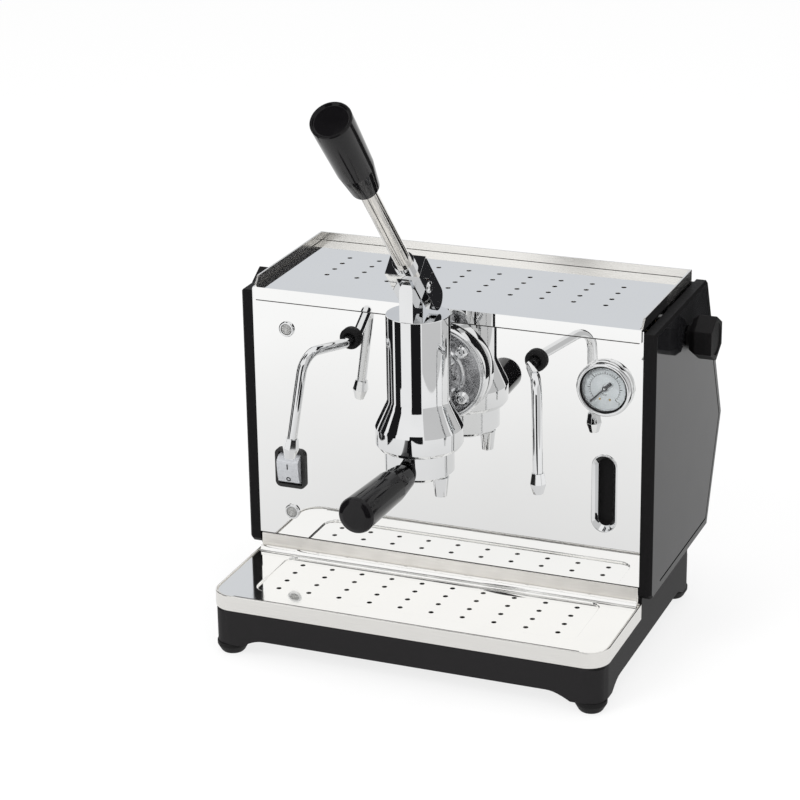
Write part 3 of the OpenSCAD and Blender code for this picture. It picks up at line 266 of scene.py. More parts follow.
# ---------------------------------------------------------------- Boiler and works inside the body
# Copper boiler in a bent sheet cradle, brass valves and elbows, drawn copper pipes and a bare
# steel element. They can't be seen with the casing closed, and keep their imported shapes.
copper = worked(finish("drawn_copper", (0.60, 0.27, 0.15), 1.0), 60.0, 0.22, 0.42, bump=0.1,
                tint=(0.46, 0.20, 0.11))
brass = worked(finish("turned_brass", (0.66, 0.48, 0.20), 1.0), 220.0, 0.20, 0.36, bump=0.06,
               tint=(0.57, 0.40, 0.16))
zinc = worked(finish("zinc_sheet", (0.50, 0.51, 0.52), 1.0), 45.0, 0.30, 0.50, bump=0.05,
              tint=(0.40, 0.41, 0.42))
steel = worked(finish("machined_steel", (0.58, 0.575, 0.56), 1.0), 300.0, 0.18, 0.32, bump=0.05,
               tint=(0.50, 0.495, 0.48))
moulded = worked(finish("black_moulding", (0.0046, 0.0043, 0.0045), Specular_IOR_Level=0.10),
                 900.0, 0.40, 0.52, bump=0.12, tint=(0.0085, 0.008, 0.0083))
keep_solid(copper, "boiler", "copper_pipes")
keep_solid(brass, "safety_valve", "left_valve", "right_valve", "piston")
# The sight glass fittings get a very dark brass, painted shade for the dark inside of the body.
dark_shade_brass = worked(finish("painted_shade_brass", (0.075, 0.055, 0.03), 1.0), 220.0, 0.45, 0.60, bump=0.06,
                tint=(0.055, 0.04, 0.022))
keep_solid(dark_shade_brass, "sight_fittings")
keep_solid(zinc, "boiler_cradle")
keep_solid(steel, "heating_element", "left_spindle", "right_spindle", "piston_rod", "cross_pin",
           "main_spring", "shower_screen", "filter_basket", "gauge_case")
keep_solid(moulded, "pressure_switch", "cord_gland")
keep_solid(rubber, "group_gasket", "head_gasket", "piston_seals")


# ---------------------------------------------------------------- Front panel
# One flat sheet of mirror-polished stainless steel, cut for the fittings and held at its edges.
# The polish leaves a faint haze, and the thin sheet is never quite flat.
mirror = worked(finish("mirror_steel", (0.945, 0.945, 0.94), 1.0), 7.0, 0.012, 0.035,
                bump=0.02, depth=0.002, tint=(0.925, 0.925, 0.918))
keep_solid(mirror, "front_panel")


# ---------------------------------------------------------------- Side panels
# Ten-millimetre black panels with a bevelled rim and a thin groove along the back and the
# bottom edge. The broad faces are lacquered to a gloss and the cut edges left satin.
lacquer = worked(finish("black_lacquer", (0.0075, 0.0075, 0.0085), Specular_IOR_Level=0.10),
                 35.0, 0.05, 0.10, bump=0.01, tint=(0.013, 0.013, 0.014))
cut_edge = worked(finish("black_cut_edge", (0.0055, 0.0052, 0.0055), Specular_IOR_Level=0.10),
                  500.0, 0.45, 0.6, bump=0.12, tint=(0.0075, 0.0071, 0.0075))
for side in ("left", "right"):
    panel = break_edges(from_solid(side + "_side_panel", side + "_side_cheek"), 0.0004, 2)
    install(panel, "machine", "panel_dark", lacquer, side + "_side_panel")
    panel.data.materials.append(cut_edge)
    for face in panel.data.polygons:
        broad = abs(face.normal.x) > 0.9
        face.material_index = 0 if broad else 1


# ---------------------------------------------------------------- Rear panel and its screws
# A bent sheet of black-painted steel with two rows of cooling slots, held by six screws with
# low round heads.
keep_solid(cut_edge, "rear_panel")
keep_solid(steel, "rear_screws")


# ---------------------------------------------------------------- Cup tray
# A pressed sheet that lies on top of the body: a mirror plate with forty holes, a lip over the
# front panel, and a low gallery with a drawn satin finish on three sides. Thin dark strips along
# the gallery's foot and under the lip are painted shade for the narrow gaps there.
satin = worked(finish("satin_steel", (0.93, 0.915, 0.885), 1.0), 60.0, 0.215, 0.23,
               tint=(0.91, 0.895, 0.865), stretch=(1.0, 12.0, 12.0))
CUP_Z, CUP_HALF, CUP_DEPTH, LIP_FOOT = 0.2845, 0.162, 0.1355, 0.274
GALLERY_FROM = CUP_Z + 0.0002
cup_tray = break_edges(from_solid("cup_tray", "cup_shelf"), 0.0006)
install(cup_tray, "cup_tray", "mirror_steel", mirror, "cup_tray")
cup_tray.data.materials.append(satin)
for face in cup_tray.data.polygons:
    face.material_index = 1 if face.center.z > GALLERY_FROM else 0
GAP_STRIP_W, GAP_STRIP_H = 0.0006, 0.0003
SIDE_GAP_Y, SIDE_GAP_RUN = PANEL_Y + 0.0686, 0.1338
LIP_GAP_Y, LIP_GAP_Z = PANEL_Y - 0.0004, LIP_FOOT - 0.0006
LIP_GAP_RUN, LIP_GAP_H = 2 * CUP_HALF - 0.001, 0.0011


def bar(name, place, size):
    """A plain straight bar, its middle and its turn given by a matrix."""
    bpy.ops.object.select_all(action="DESELECT")
    bpy.ops.mesh.primitive_cube_add(size=1.0)
    piece = bpy.context.object
    piece.name = name
    piece.matrix_world = place @ Matrix.Diagonal((*size, 1.0))
    bpy.ops.object.transform_apply(location=True, rotation=True, scale=True)
    return piece


# Thin dark strips that paint the shade in the narrow gaps at the gallery's foot and under the lip.
shadow_gaps = [bar("side_shadow_gap", Matrix.Translation((side * (CUP_HALF - GAP_STRIP_W / 2), SIDE_GAP_Y, CUP_Z)),
             (GAP_STRIP_W, SIDE_GAP_RUN, GAP_STRIP_H)) for side in (-1, 1)]
shadow_gaps.append(bar("back_shadow_gap", Matrix.Translation((0.0, PANEL_Y + CUP_DEPTH - GAP_STRIP_W / 2, CUP_Z)),
                 (2 * (CUP_HALF - GAP_STRIP_W), GAP_STRIP_W, GAP_STRIP_H)))
shadow_gaps.append(bar("lip_shadow_gap", Matrix.Translation((0.0, LIP_GAP_Y, LIP_GAP_Z)),
                 (LIP_GAP_RUN, GAP_STRIP_W, LIP_GAP_H)))
# A flat dark colour used as painted shade in narrow gaps.
shadow_gap_dark = worked(finish("shadow_gap_dark", (0.03, 0.028, 0.026)), 300.0, 0.5, 0.7, tint=(0.045, 0.042, 0.038))
install(joined("gallery_shadow_gap", shadow_gaps), "cup_tray", "mirror_steel", shadow_gap_dark)


# ---------------------------------------------------------------- Drip tray and its grid
# The tray is folded from satin sheet with a broad rim and a brushed upstand behind. The grid is a
# polished sheet with a pressed panel and forty drain holes, folded down at the front and turned up
# at the back, which lies on the tray's ledge.
UPSTAND_FROM = 0.0542
drip_tray = break_edges(from_solid("drip_tray", "drip_pan"), 0.0009)
install(drip_tray, "drip_tray", "satin_steel", satin, "drip_tray")
brushed = worked(finish("brushed_upstand", (0.97, 0.945, 0.905), 1.0), 60.0, 0.34, 0.40,
                 tint=(0.95, 0.925, 0.885), stretch=(1.0, 12.0, 12.0))
drip_tray.data.materials.append(brushed)
for face in drip_tray.data.polygons:
    face.material_index = 1 if face.center.z > UPSTAND_FROM else 0
GRID_TOP, GRID_MIDDLE = 0.053, PANEL_Y - 0.04825
PRESS_HALF, PRESS_FRONT, PRESS_BACK, PRESS_ROUND = 0.14, -0.072, 0.006, 0.0012
RIM_HALF, RIM_FRONT, RIM_BACK = 0.150, -0.0805, 0.0070
RIM_SHRINK, CLOSE = (0.9964, 0.9875, 1.0), 1e-5


def bevel_edges(piece, wanted, **bevel):
    """Bevels the edges that pass a test on the edge and its two ends."""
    only(piece)
    bpy.ops.object.mode_set(mode="EDIT")
    bpy.ops.mesh.select_mode(type="EDGE")
    bpy.ops.mesh.select_all(action="DESELECT")
    bpy.ops.object.mode_set(mode="OBJECT")
    corners = piece.data.vertices
    for edge in piece.data.edges:
        edge.select = wanted(edge, *(corners[v].co for v in edge.vertices))
    bpy.ops.object.mode_set(mode="EDIT")
    bpy.ops.mesh.bevel(affect="EDGES", **bevel)
    bpy.ops.mesh.select_mode(type="VERT")
    bpy.ops.mesh.select_all(action="DESELECT")
    bpy.ops.object.mode_set(mode="OBJECT")


def pressed(edge, *ends):
    """True for a crease of the grid's pressed panel."""
    return not edge.use_seam and all(
        abs(end.z - GRID_TOP) < CLOSE and abs(end.x) < PRESS_HALF and PRESS_FRONT < end.y < PRESS_BACK
        for end in ends)


drip_grid = from_solid("drip_grid", "drip_plate")
bevel_edges(drip_grid, pressed, offset=PRESS_ROUND, segments=4)
for corner in drip_grid.data.vertices:
    corner.select = abs(corner.co.x) > RIM_HALF or not RIM_FRONT < corner.co.y < RIM_BACK
bpy.ops.object.mode_set(mode="EDIT")
bpy.ops.transform.resize(value=RIM_SHRINK, center_override=(0.0, GRID_MIDDLE, 0.0))
break_edges(drip_grid, 0.0004, 2)
grid_steel = worked(finish("polished_grid_steel", (0.955, 0.95, 0.935), 1.0), 25.0, 0.05, 0.09, bump=0.01,
                    tint=(0.945, 0.94, 0.925))
install(drip_grid, "drip_grid", "mirror_steel", grid_steel, "drip_grid")
TURN_UP, TURN_UP_W, TURN_UP_SINK, GRID_BACK = 0.0048, 0.328, 0.0001, 0.0071
COVE_REACH, COVE_HOLLOW, COVE_DEPTH = 0.95, 0.086, 0.46
cove_y, cove_z = GRID_BACK - TURN_UP / 2, GRID_TOP + TURN_UP / 2
turn_up = bar("grid_turn_up", Matrix.Translation((0.0, cove_y, cove_z - TURN_UP_SINK)),
              (TURN_UP_W, TURN_UP, TURN_UP))
bevel_edges(turn_up, lambda edge, *ends: all(end.y < cove_y and end.z > cove_z for end in ends),
            offset=COVE_REACH * TURN_UP, segments=10, profile=COVE_HOLLOW)
bpy.ops.object.mode_set(mode="EDIT")
bpy.ops.mesh.select_all(action="SELECT")
bpy.ops.transform.resize(value=(1.0, COVE_DEPTH, 1.0), center_override=(0.0, GRID_BACK, 0.0))
bpy.ops.object.mode_set(mode="OBJECT")
bpy.ops.object.shade_smooth_by_angle(angle=radians(30))
install(turn_up, "drip_grid", "mirror_steel", grid_steel)
# A thin dark bar along the grid's front edge paints the shade of the gap at its fold.
GRID_FRONT, FOLD_SHADE_SIZE = -0.0848, (0.292, 0.0005, 0.0003)
front_fold_shade_line = bar("grid_front_fold_shade", Matrix.Translation((0.0, GRID_FRONT, GRID_TOP)), FOLD_SHADE_SIZE)
install(front_fold_shade_line, "drip_grid", "mirror_steel", shadow_gap_dark)


# ---------------------------------------------------------------- Valve knobs
# Six-sided moulded knobs with a tapered skirt and a shallow dish in the end, pressed on the
# spindles of the two valves.
for side in ("left", "right"):
    knob = break_edges(from_solid(side + "_knob", side + "_tap_knob"), 0.0011, 4)
    install(knob, side + "_knob", "black_matte", moulded, side + "_knob")


# ---------------------------------------------------------------- Wands and their grommets
# Two bent chromed tubes for hot water and steam, each turning in a moulded rubber grommet in the
# front panel and ending in a faceted nozzle.
WAND_R = 0.004
chrome = worked(finish("bright_chrome", (0.80, 0.805, 0.81), 1.0), 30.0, 0.015, 0.045, bump=0.01,
                tint=(0.77, 0.775, 0.78))
WAND_RUNS = {
    "right": [(0.0785, 0.014, 0.250), (0.0785, -0.014, 0.250), (0.1015, -0.067, 0.259),
              (0.1035, -0.069, 0.185)],
    "left": [(-0.0785, 0.014, 0.250), (-0.0785, -0.014, 0.250), (-0.0895, -0.068, 0.258),
             (-0.1005, -0.071, 0.187)],
}
WAND_BENDS, BEND_STEPS = (0.008, 0.016), 12
grommet_outline = [(0.0041, -0.0045), (0.0086, -0.0045), (0.0086, -0.0017), (0.0070, -0.0017),
                   (0.0070, 0.0), (0.0090, 0.0), (0.0090, 0.0030, 0.0014), (0.0072, 0.0045, 0.0010),
                   (0.0056, 0.0045, 0.0008), (0.0041, 0.0030), (0.0041, -0.0045)]


def facing_out(x, z):
    """Place on the front panel with the turning axis pointing at the viewer."""
    return Matrix.Translation((x, PANEL_Y, z)) @ Matrix.Rotation(radians(90), 4, "X")


def bent_tube(name, corners, bends, radius):
    """A round tube through corners, each inner one rounded by its bend radius."""
    corners = [Vector(c) for c in corners]
    path = [corners[0]]
    for i, bend in enumerate(bends, 1):
        path.extend(arc(corners[i - 1], corners[i], corners[i + 1], bend, BEND_STEPS))
    path.append(corners[-1])
    bpy.ops.object.select_all(action="DESELECT")
    bpy.ops.curve.primitive_bezier_curve_add()
    tube = bpy.context.object
    tube.name = name
    curve = tube.data
    curve.splines.clear()
    spline = curve.splines.new("POLY")
    spline.points.add(len(path) - 1)
    for point, place in zip(spline.points, path):
        point.co = (*place, 1.0)
    curve.dimensions = "3D"
    curve.bevel_depth = radius
    curve.bevel_resolution = 7
    curve.use_fill_caps = True
    bpy.ops.object.convert(target="MESH")
    tube = bpy.context.object
    bpy.ops.object.mode_set(mode="EDIT")
    bpy.ops.mesh.select_all(action="SELECT")
    bpy.ops.mesh.remove_doubles(threshold=1e-6)
    bpy.ops.mesh.normals_make_consistent(inside=False)
    bpy.ops.object.mode_set(mode="OBJECT")
    bpy.ops.object.shade_smooth_by_angle(angle=radians(40))
    return tube


for side, run in WAND_RUNS.items():
    grommet = turned(side + "_wand_grommet", grommet_outline, facing_out(run[0][0], run[0][2]))
    install(grommet, "machine", "rubber_black", rubber, side + "_grommet")
    wand = bent_tube(side + "_wand_tube", [(x, y + PANEL_Y, z) for x, y, z in run], WAND_BENDS, WAND_R)
    install(wand, side + "_wand", "chromed", chrome, side + "_wand")
    nozzle = break_edges(from_solid(side + "_nozzle", side + "_wand_tip"), 0.00025, 2, 15.0)
    install(nozzle, side + "_wand", "chromed", chrome, side + "_nozzle")


# ---------------------------------------------------------------- Pressure gauge
# A round gauge in a polished bezel: a pale printed dial with a tick ring, held by two small
# screws, a black pointer with a broad tail on a bright hub, and a flat glass.
GAUGE_X, GAUGE_Z = 0.135, 0.234
BEZEL_BORE, BEZEL_LEDGE = 0.0191, 0.0026
bezel_outline = [(0.0202, 0.0), (0.0217, 0.0), (0.0225, 0.0008, 0.0006), (0.0225, 0.0046, 0.0010),
                 (0.0213, 0.0070, 0.0010), (0.0194, 0.0070, 0.0007), (0.0186, 0.0058, 0.0003),
                 (0.0179, 0.0056, 0.0002), (0.0179, 0.0025), (0.0202, 0.0025), (0.0202, 0.0)]
bezel = turned("gauge_rim", bezel_outline, facing_out(GAUGE_X, GAUGE_Z), 96)
install(bezel, "machine", "chromed", chrome, "gauge_bezel")
# The bezel's inner wall below its ledge takes black rubber: a gasket, and painted shade for the deep bore.
bezel.data.materials.append(rubber)
for face in bezel.data.polygons:
    inward = Vector((face.center.x - GAUGE_X, face.center.z - GAUGE_Z)).length < BEZEL_BORE
    face.material_index = 1 if inward and PANEL_Y - face.center.y > BEZEL_LEDGE else 0
dial_print = worked(finish("dial_enamel", (0.60, 0.625, 0.64)), 60.0, 0.42, 0.55, tint=(0.63, 0.655, 0.67))
DIAL_OUT, DIAL_R, DIAL_BORE, DIAL_T = 0.0018, 0.0184, 0.0009, 0.001
dial_outline = [(DIAL_BORE, DIAL_OUT - DIAL_T), (DIAL_R, DIAL_OUT - DIAL_T), (DIAL_R, DIAL_OUT),
                (DIAL_BORE, DIAL_OUT), (DIAL_BORE, DIAL_OUT - DIAL_T)]
dial = turned("dial_plate", dial_outline, facing_out(GAUGE_X, GAUGE_Z), 64)
install(dial, "machine", "dial_white", dial_print, "gauge_dial")
dial_ink = worked(finish("dial_ink", (0.016, 0.017, 0.020)), 400.0, 0.4, 0.6, tint=(0.026, 0.027, 0.030))
TICKS, PRINT_T = 30, 0.0001
SWEEP_FROM, SWEEP = 135.0, 270.0
SCALE_R, SCALE_W, ARC_STEPS = 0.0118, 0.00022, 60
LONG_TICK, MIDDLE_TICK, SHORT_TICK = 0.0027, 0.0021, 0.0013
BROAD_TICK, FINE_TICK = 0.00055, 0.00036
FIGURE_R, FIGURE_SIZE = 0.0160, 0.0034
UNIT_Z, UNIT_SIZE = -0.0050, 0.0028
marks = []


def flat_mark(out, width, height, turn):
    """A thin printed bar at a distance from the dial's middle, turned clockwise about it."""
    place = (facing_out(GAUGE_X, GAUGE_Z) @ Matrix.Rotation(radians(-turn), 4, "Z")
             @ Matrix.Translation((0.0, out, DIAL_OUT)))
    return bar("dial_mark", place, (width, height, PRINT_T))


def printed_word(word, x, z, size):
    """A figure or word of the print, made a mesh on the dial."""
    bpy.ops.object.select_all(action="DESELECT")
    bpy.ops.object.text_add()
    text = bpy.context.object
    text.data.body = word
    text.data.size = size
    text.data.align_x = "CENTER"
    text.data.align_y = "CENTER"
    text.data.extrude = PRINT_T / 2
    bpy.ops.object.convert(target="MESH")
    text = bpy.context.object
    text.matrix_world = facing_out(GAUGE_X, GAUGE_Z) @ Matrix.Translation((x, z, DIAL_OUT))
    bpy.ops.object.transform_apply(location=True, rotation=True, scale=True)
    return text


for i in range(TICKS + 1):
    turn = SWEEP * i / TICKS - SWEEP_FROM
    tall = LONG_TICK if i % 10 == 0 else MIDDLE_TICK if i % 5 == 0 else SHORT_TICK
    broad = BROAD_TICK if i % 5 == 0 else FINE_TICK
    marks.append(flat_mark(SCALE_R + tall / 2, broad, tall, turn))
    if i % 10 == 0:
        marks.append(printed_word(str(i // 10), FIGURE_R * sin(radians(turn)), FIGURE_R * cos(radians(turn)),
                                  FIGURE_SIZE))
for i in range(ARC_STEPS):
    turn = SWEEP * (i + 0.5) / ARC_STEPS - SWEEP_FROM
    marks.append(flat_mark(SCALE_R, radians(SWEEP / ARC_STEPS) * SCALE_R, SCALE_W, turn))
marks.append(printed_word("bar", 0.0, UNIT_Z, UNIT_SIZE))
install(joined("dial_marks", marks), "machine", "needle_black", dial_ink)
DIAL_SCREW_X, DIAL_SCREW_Z = 0.004, -0.0088
dial_screw_outline = [(0.0, -0.0002), (0.0009, -0.0002), (0.0009, 0.0002, 0.0002), (0.0, 0.0004)]
dial_screws = joined("dial_screw_heads", [
    turned("dial_screw", dial_screw_outline, facing_out(GAUGE_X, GAUGE_Z)
           @ Matrix.Translation((side * DIAL_SCREW_X, DIAL_SCREW_Z, DIAL_OUT)), 20) for side in (-1, 1)])
install(dial_screws, "machine", "brass", brass)
needle = break_edges(from_solid("gauge_needle", "gauge_pointer"), 0.0001, 1)
install(needle, "needle", "needle_black", dial_ink, "gauge_needle")
needle_out = PANEL_Y - min(corner[1] for corner in needle.bound_box)
hub_outline = [(0.0, -0.0002), (0.0009, -0.0002), (0.0009, 0.0001, 0.0001), (0.0, 0.0004)]
hub = turned("pointer_hub", hub_outline,
             facing_out(GAUGE_X, GAUGE_Z) @ Matrix.Translation((0.0, 0.0, needle_out)), 24)
install(hub, "needle", "needle_black", chrome)
glass = worked(finish("clear_glass", (0.97, 0.985, 0.985), Transmission_Weight=1.0, IOR=1.45),
               20.0, 0.0, 0.02)
GLASS_OUT, GLASS_R, GLASS_EDGE, GLASS_CROWN = 0.0044, 0.0178, 0.0010, 0.0012
glass_outline = [(0.0, GLASS_OUT), (GLASS_R, GLASS_OUT), (GLASS_R, GLASS_OUT + GLASS_EDGE, 0.0002),
                 (0.0, GLASS_OUT + GLASS_CROWN)]
lens = turned("gauge_glass", glass_outline, facing_out(GAUGE_X, GAUGE_Z), 64)
install(lens, "machine", "clear_glass", glass, "gauge_lens")
lens.visible_shadow = False
keep_solid(glass, "sight_tube")


# ---------------------------------------------------------------- Sight glass window
# An upright slot with a chromed rim that slopes into a deep sleeve, closed by a black pane of
# painted shade. The glass tube for the boiler's level stands in the dark behind it.
SIGHT_X, SIGHT_Z = 0.135, 0.145
SIGHT_STRETCH, SIGHT_STEPS = 0.0225, 72
sight_outline = [(0.0057, -0.0125), (0.0090, -0.0125), (0.0090, 0.0), (0.0105, 0.0),
                 (0.0105, 0.0009, 0.0007), (0.0098, 0.0015, 0.0006), (0.0058, -0.0036, 0.0012),
                 (0.0057, -0.0125)]
# The black pane at the sleeve's end is painted shade for the dark inside of the body.
shade_pane_outline = [(0.0, -0.0110), (0.0060, -0.0110), (0.0060, -0.0090), (0.0, -0.0090)]
sight_place = facing_out(SIGHT_X, SIGHT_Z) @ Matrix.Rotation(pi / SIGHT_STEPS, 4, "Z")
sight_bezel = turned("sight_window_rim", sight_outline, sight_place, SIGHT_STEPS)
sight_shade_pane = turned("sight_window_shade_pane", shade_pane_outline, sight_place, SIGHT_STEPS)
for piece in (sight_bezel, sight_shade_pane):
    for corner in piece.data.vertices:
        if abs(corner.co.z - SIGHT_Z) > 1e-6:
            corner.co.z += SIGHT_STRETCH if corner.co.z > SIGHT_Z else -SIGHT_STRETCH
install(sight_bezel, "machine", "chromed", chrome, "sight_bezel")
install(sight_shade_pane, "machine", "needle_black", moulded)


# ---------------------------------------------------------------- Power switch
# A rocker of pale grey plastic with a printed stroke and ring, in a black moulded frame that is
# snapped into the panel.
SWITCH_X, SWITCH_Z = -0.135, 0.130
pale_plastic = worked(finish("pale_grey_plastic", (0.43, 0.44, 0.46)), 500.0, 0.26, 0.36, bump=0.04,
                      tint=(0.46, 0.47, 0.49))
frame_plastic = worked(finish("dark_grey_moulding", (0.022, 0.022, 0.022), Specular_IOR_Level=0.2),
                       700.0, 0.38, 0.5, bump=0.1, tint=(0.028, 0.028, 0.028))
switch_frame = break_edges(from_solid("switch_body", "switch_frame"), 0.0010, 5)
install(switch_frame, "machine", "black_matte", frame_plastic, "switch_body")
rocker = break_edges(from_solid("switch_rocker", "switch_key"), 0.0020, 5)
install(rocker, "rocker", "grey_plastic", pale_plastic, "switch_rocker")
rocker_ink = worked(finish("switch_ink", (0.008, 0.008, 0.009)), 400.0, 0.4, 0.6,
                    tint=(0.014, 0.014, 0.015))
TILT, PIVOT = radians(9.0), 0.003
CROWN_R, CROWN_MIDDLE = 0.058, 0.0474
STROKE_AT, STROKE_SIZE, CIRCLE_AT = 0.0052, (0.0011, 0.0046, 0.0002), -0.0064
circle_outline = [(0.0011, -0.0001), (0.0021, -0.0001), (0.0021, 0.0001), (0.0011, 0.0001),
                  (0.0011, -0.0001)]
rocker_place = (Matrix.Translation((SWITCH_X, PANEL_Y + PIVOT, SWITCH_Z)) @ Matrix.Rotation(TILT, 4, "X")
                @ Matrix.Translation((0.0, CROWN_MIDDLE, 0.0)))


def on_crown(height):
    """Place on the rocker's curved face, with its outward direction as Z and its height as Y."""
    return (rocker_place @ Matrix.Rotation(-height / CROWN_R, 4, "X")
            @ Matrix.Translation((0.0, -CROWN_R, 0.0)) @ Matrix.Rotation(radians(90), 4, "X"))


stroke = bar("stroke_mark", on_crown(STROKE_AT), STROKE_SIZE)
circle = turned("ring_mark", circle_outline, on_crown(CIRCLE_AT), 40)
install(joined("switch_marks", [stroke, circle]), "rocker", "grey_plastic", rocker_ink)


# ---------------------------------------------------------------- Pilot lamps
# Two small lamps, each a ribbed lens of clear plastic in a thin chromed ring that is pushed into
# a round hole of the panel.
LAMP_X, LAMP_HEIGHTS = -0.135, (0.251, 0.091)
ring_outline = [(0.0046, -0.016), (0.0051, -0.016), (0.0051, 0.0), (0.0065, 0.0),
                (0.0065, 0.0014, 0.0004), (0.0058, 0.0020, 0.0004), (0.0046, 0.0020, 0.0003),
                (0.0046, -0.016)]
lens_outline = [(0.0, -0.012), (0.0045, -0.012), (0.0045, 0.0010), (0.0040, 0.0016), (0.0035, 0.0013),
                (0.0030, 0.0020), (0.0025, 0.0016), (0.0020, 0.0021), (0.0014, 0.0017), (0.0009, 0.0021),
                (0.0, 0.0020)]
lamp_clear = worked(finish("lamp_plastic", (0.55, 0.55, 0.54), Transmission_Weight=0.35, IOR=1.49),
                    300.0, 0.10, 0.22, bump=0.05)
rings = joined("lamp_collars", [
    turned("lamp_collar", ring_outline, facing_out(LAMP_X, z), 48) for z in LAMP_HEIGHTS])
install(rings, "machine", "chromed", chrome, "lamp_rings")
lenses = joined("lamp_caps", [
    turned("lamp_cap", lens_outline, facing_out(LAMP_X, z), 48, 10.0) for z in LAMP_HEIGHTS])
install(lenses, "machine", "lamp_plastic", lamp_clear, "lamp_lenses")


# ---------------------------------------------------------------- Lever group
# A chromed brass casting: an upright cylinder that flares into the bayonet collar, a neck to a
# round flange on the front panel, and a post in front of the rod that carries the fulcrum.
GROUP_Y = PANEL_Y - 0.052
FLANGE_Z = 0.233
cylinder_outline = [(0.00405, 0.296), (0.0250, 0.296, 0.0007), (0.0250, 0.2250, 0.012),
                    (0.0336, 0.2070, 0.003), (0.0345, 0.2045, 0.001), (0.0345, 0.1910, 0.0012),
                    (0.0325, 0.1880, 0.0008), (0.0282, 0.1880, 0.0004), (0.0282, 0.1918),
                    (0.0322, 0.1918), (0.0322, 0.1966), (0.0292, 0.1966), (0.0292, 0.2020),
                    (0.0200, 0.2020), (0.0200, 0.2880), (0.00405, 0.2880), (0.00405, 0.296)]
flange_outline = [(0.0, 0.0015), (0.0395, 0.0015, 0.0005), (0.0395, 0.0096, 0.0008),
                  (0.0384, 0.0115, 0.0006), (0.0372, 0.0115, 0.0004), (0.0367, 0.0107, 0.0003),
                  (0.0361, 0.0113, 0.0003), (0.0353, 0.0113, 0.0004), (0.0345, 0.0075, 0.0006),
                  (0.0215, 0.0075, 0.0020), (0.0195, 0.0100, 0.0020), (0.0195, 0.0420), (0.0, 0.0420)]
cylinder = turned("group_cylinder", cylinder_outline, Matrix.Translation((0.0, GROUP_Y, 0.0)), 128)
install(cylinder, "machine", "chromed", chrome, "group_body")
flange = turned("group_flange", flange_outline, facing_out(0.0, FLANGE_Z), 128)


def cut_away(piece, tool):
    """Takes one shape out of a piece."""
    only(piece)
    cut = piece.modifiers.new("cut", "BOOLEAN")
    cut.operation = "DIFFERENCE"
    cut.object = tool
    cut.solver = "EXACT"
    bpy.ops.object.modifier_apply(modifier="cut")
    bpy.data.objects.remove(tool)
    only(piece)
    bpy.ops.object.shade_smooth_by_angle(angle=radians(30))


BORE_R, BORE_LOW, BORE_HIGH = 0.0225, 0.18, 0.30
bore_outline = [(0.0, BORE_LOW), (BORE_R, BORE_LOW), (BORE_R, BORE_HIGH), (0.0, BORE_HIGH)]
cut_away(flange, turned("bore_tool", bore_outline, Matrix.Translation((0.0, GROUP_Y, 0.0)), 64))
cast = worked(finish("chromed_casting", (0.56, 0.56, 0.57), 1.0), 190.0, 0.10, 0.24,
              bump=0.9, depth=0.0012, tint=(0.36, 0.36, 0.37))
WEB_INNER, WEB_OUTER, WEB_LOW, WEB_HIGH = 0.0200, 0.0350, 0.006, 0.0085
install(flange, "machine", "chromed", chrome, "group_body")
flange.data.materials.append(cast)
for face in flange.data.polygons:
    out = PANEL_Y - face.center.y
    across = Vector((face.center.x, face.center.z - FLANGE_Z)).length
    face.material_index = 1 if WEB_INNER < across < WEB_OUTER and WEB_LOW < out < WEB_HIGH else 0
POST_W, POST_HALF, POST_FRONT = 0.011, 0.00975, -0.0242
POST_LOW, POST_TOP = 0.292, 0.320
post_crown = POST_TOP + POST_HALF
post_middle = (0.0, GROUP_Y + POST_FRONT + POST_HALF, (POST_LOW + post_crown) / 2)
post = bar("group_post", Matrix.Translation(post_middle), (POST_W, 2 * POST_HALF, post_crown - POST_LOW))
bevel_edges(post, lambda edge, *ends: all(end.z > post_crown - CLOSE for end in ends),
            offset=POST_HALF - CLOSE, segments=16)
break_edges(post, 0.0006, 3)
install(post, "machine", "chromed", chrome, "group_body")


# ---------------------------------------------------------------- Flange bolts
# Four chromed bolts with a domed head and a socket in it, which hold the flange of the group to
# the boiler's neck behind the panel.
BOLT_AT = 0.0195
bolt_outline = [(0.0, 0.0105), (0.0019, 0.0105), (0.0019, 0.0125, 0.0002), (0.0038, 0.0120, 0.002),
                (0.0060, 0.0092, 0.0008), (0.0060, 0.0075), (0.003, 0.0075), (0.003, -0.0075), (0.0, -0.0075)]
bolts = joined("flange_bolt_set", [
    turned("flange_bolt", bolt_outline, facing_out(x * BOLT_AT, FLANGE_Z + z * BOLT_AT), 40)
    for x in (-1, 1) for z in (-1, 1)])
install(bolts, "machine", "chromed", chrome, "group_bolts")


# ---------------------------------------------------------------- Lever
# A chromed forked block on the fulcrum pin, a ground steel rod screwed into it, and a moulded
# black grip with a shallow dish in its end.
FULCRUM = (0.0, PANEL_Y - 0.063, 0.322)
LEAN = radians(42.6)
ROD_OFFSET = 0.0037
lever_place = (Matrix.Translation(FULCRUM) @ Matrix.Rotation(LEAN, 4, "X")
               @ Matrix.Translation((0.0, ROD_OFFSET, 0.0)))
fork = break_edges(from_solid("lever_fork", "lever_block"), 0.0007, 3)
install(fork, "lever", "chromed", chrome, "lever_fork")
pin_outline = [(0.0, -0.0156), (0.0028, -0.0156, 0.0006), (0.0046, -0.0146, 0.0006), (0.0046, -0.0140),
               (0.003, -0.0140), (0.003, 0.0140), (0.0046, 0.0140), (0.0046, 0.0146, 0.0006),
               (0.0028, 0.0156, 0.0006), (0.0, 0.0156)]
pin = turned("fulcrum_bolt", pin_outline,
             Matrix.Translation(FULCRUM) @ Matrix.Rotation(radians(90), 4, "Y"), 40)
install(pin, "machine", "plain_steel", chrome, "fulcrum_pin")
rod_steel = worked(finish("ground_steel_rod", (0.80, 0.78, 0.745), 1.0), 120.0, 0.07, 0.13, bump=0.03,
                   tint=(0.74, 0.72, 0.685), stretch=(8.0, 1.0, 1.0))
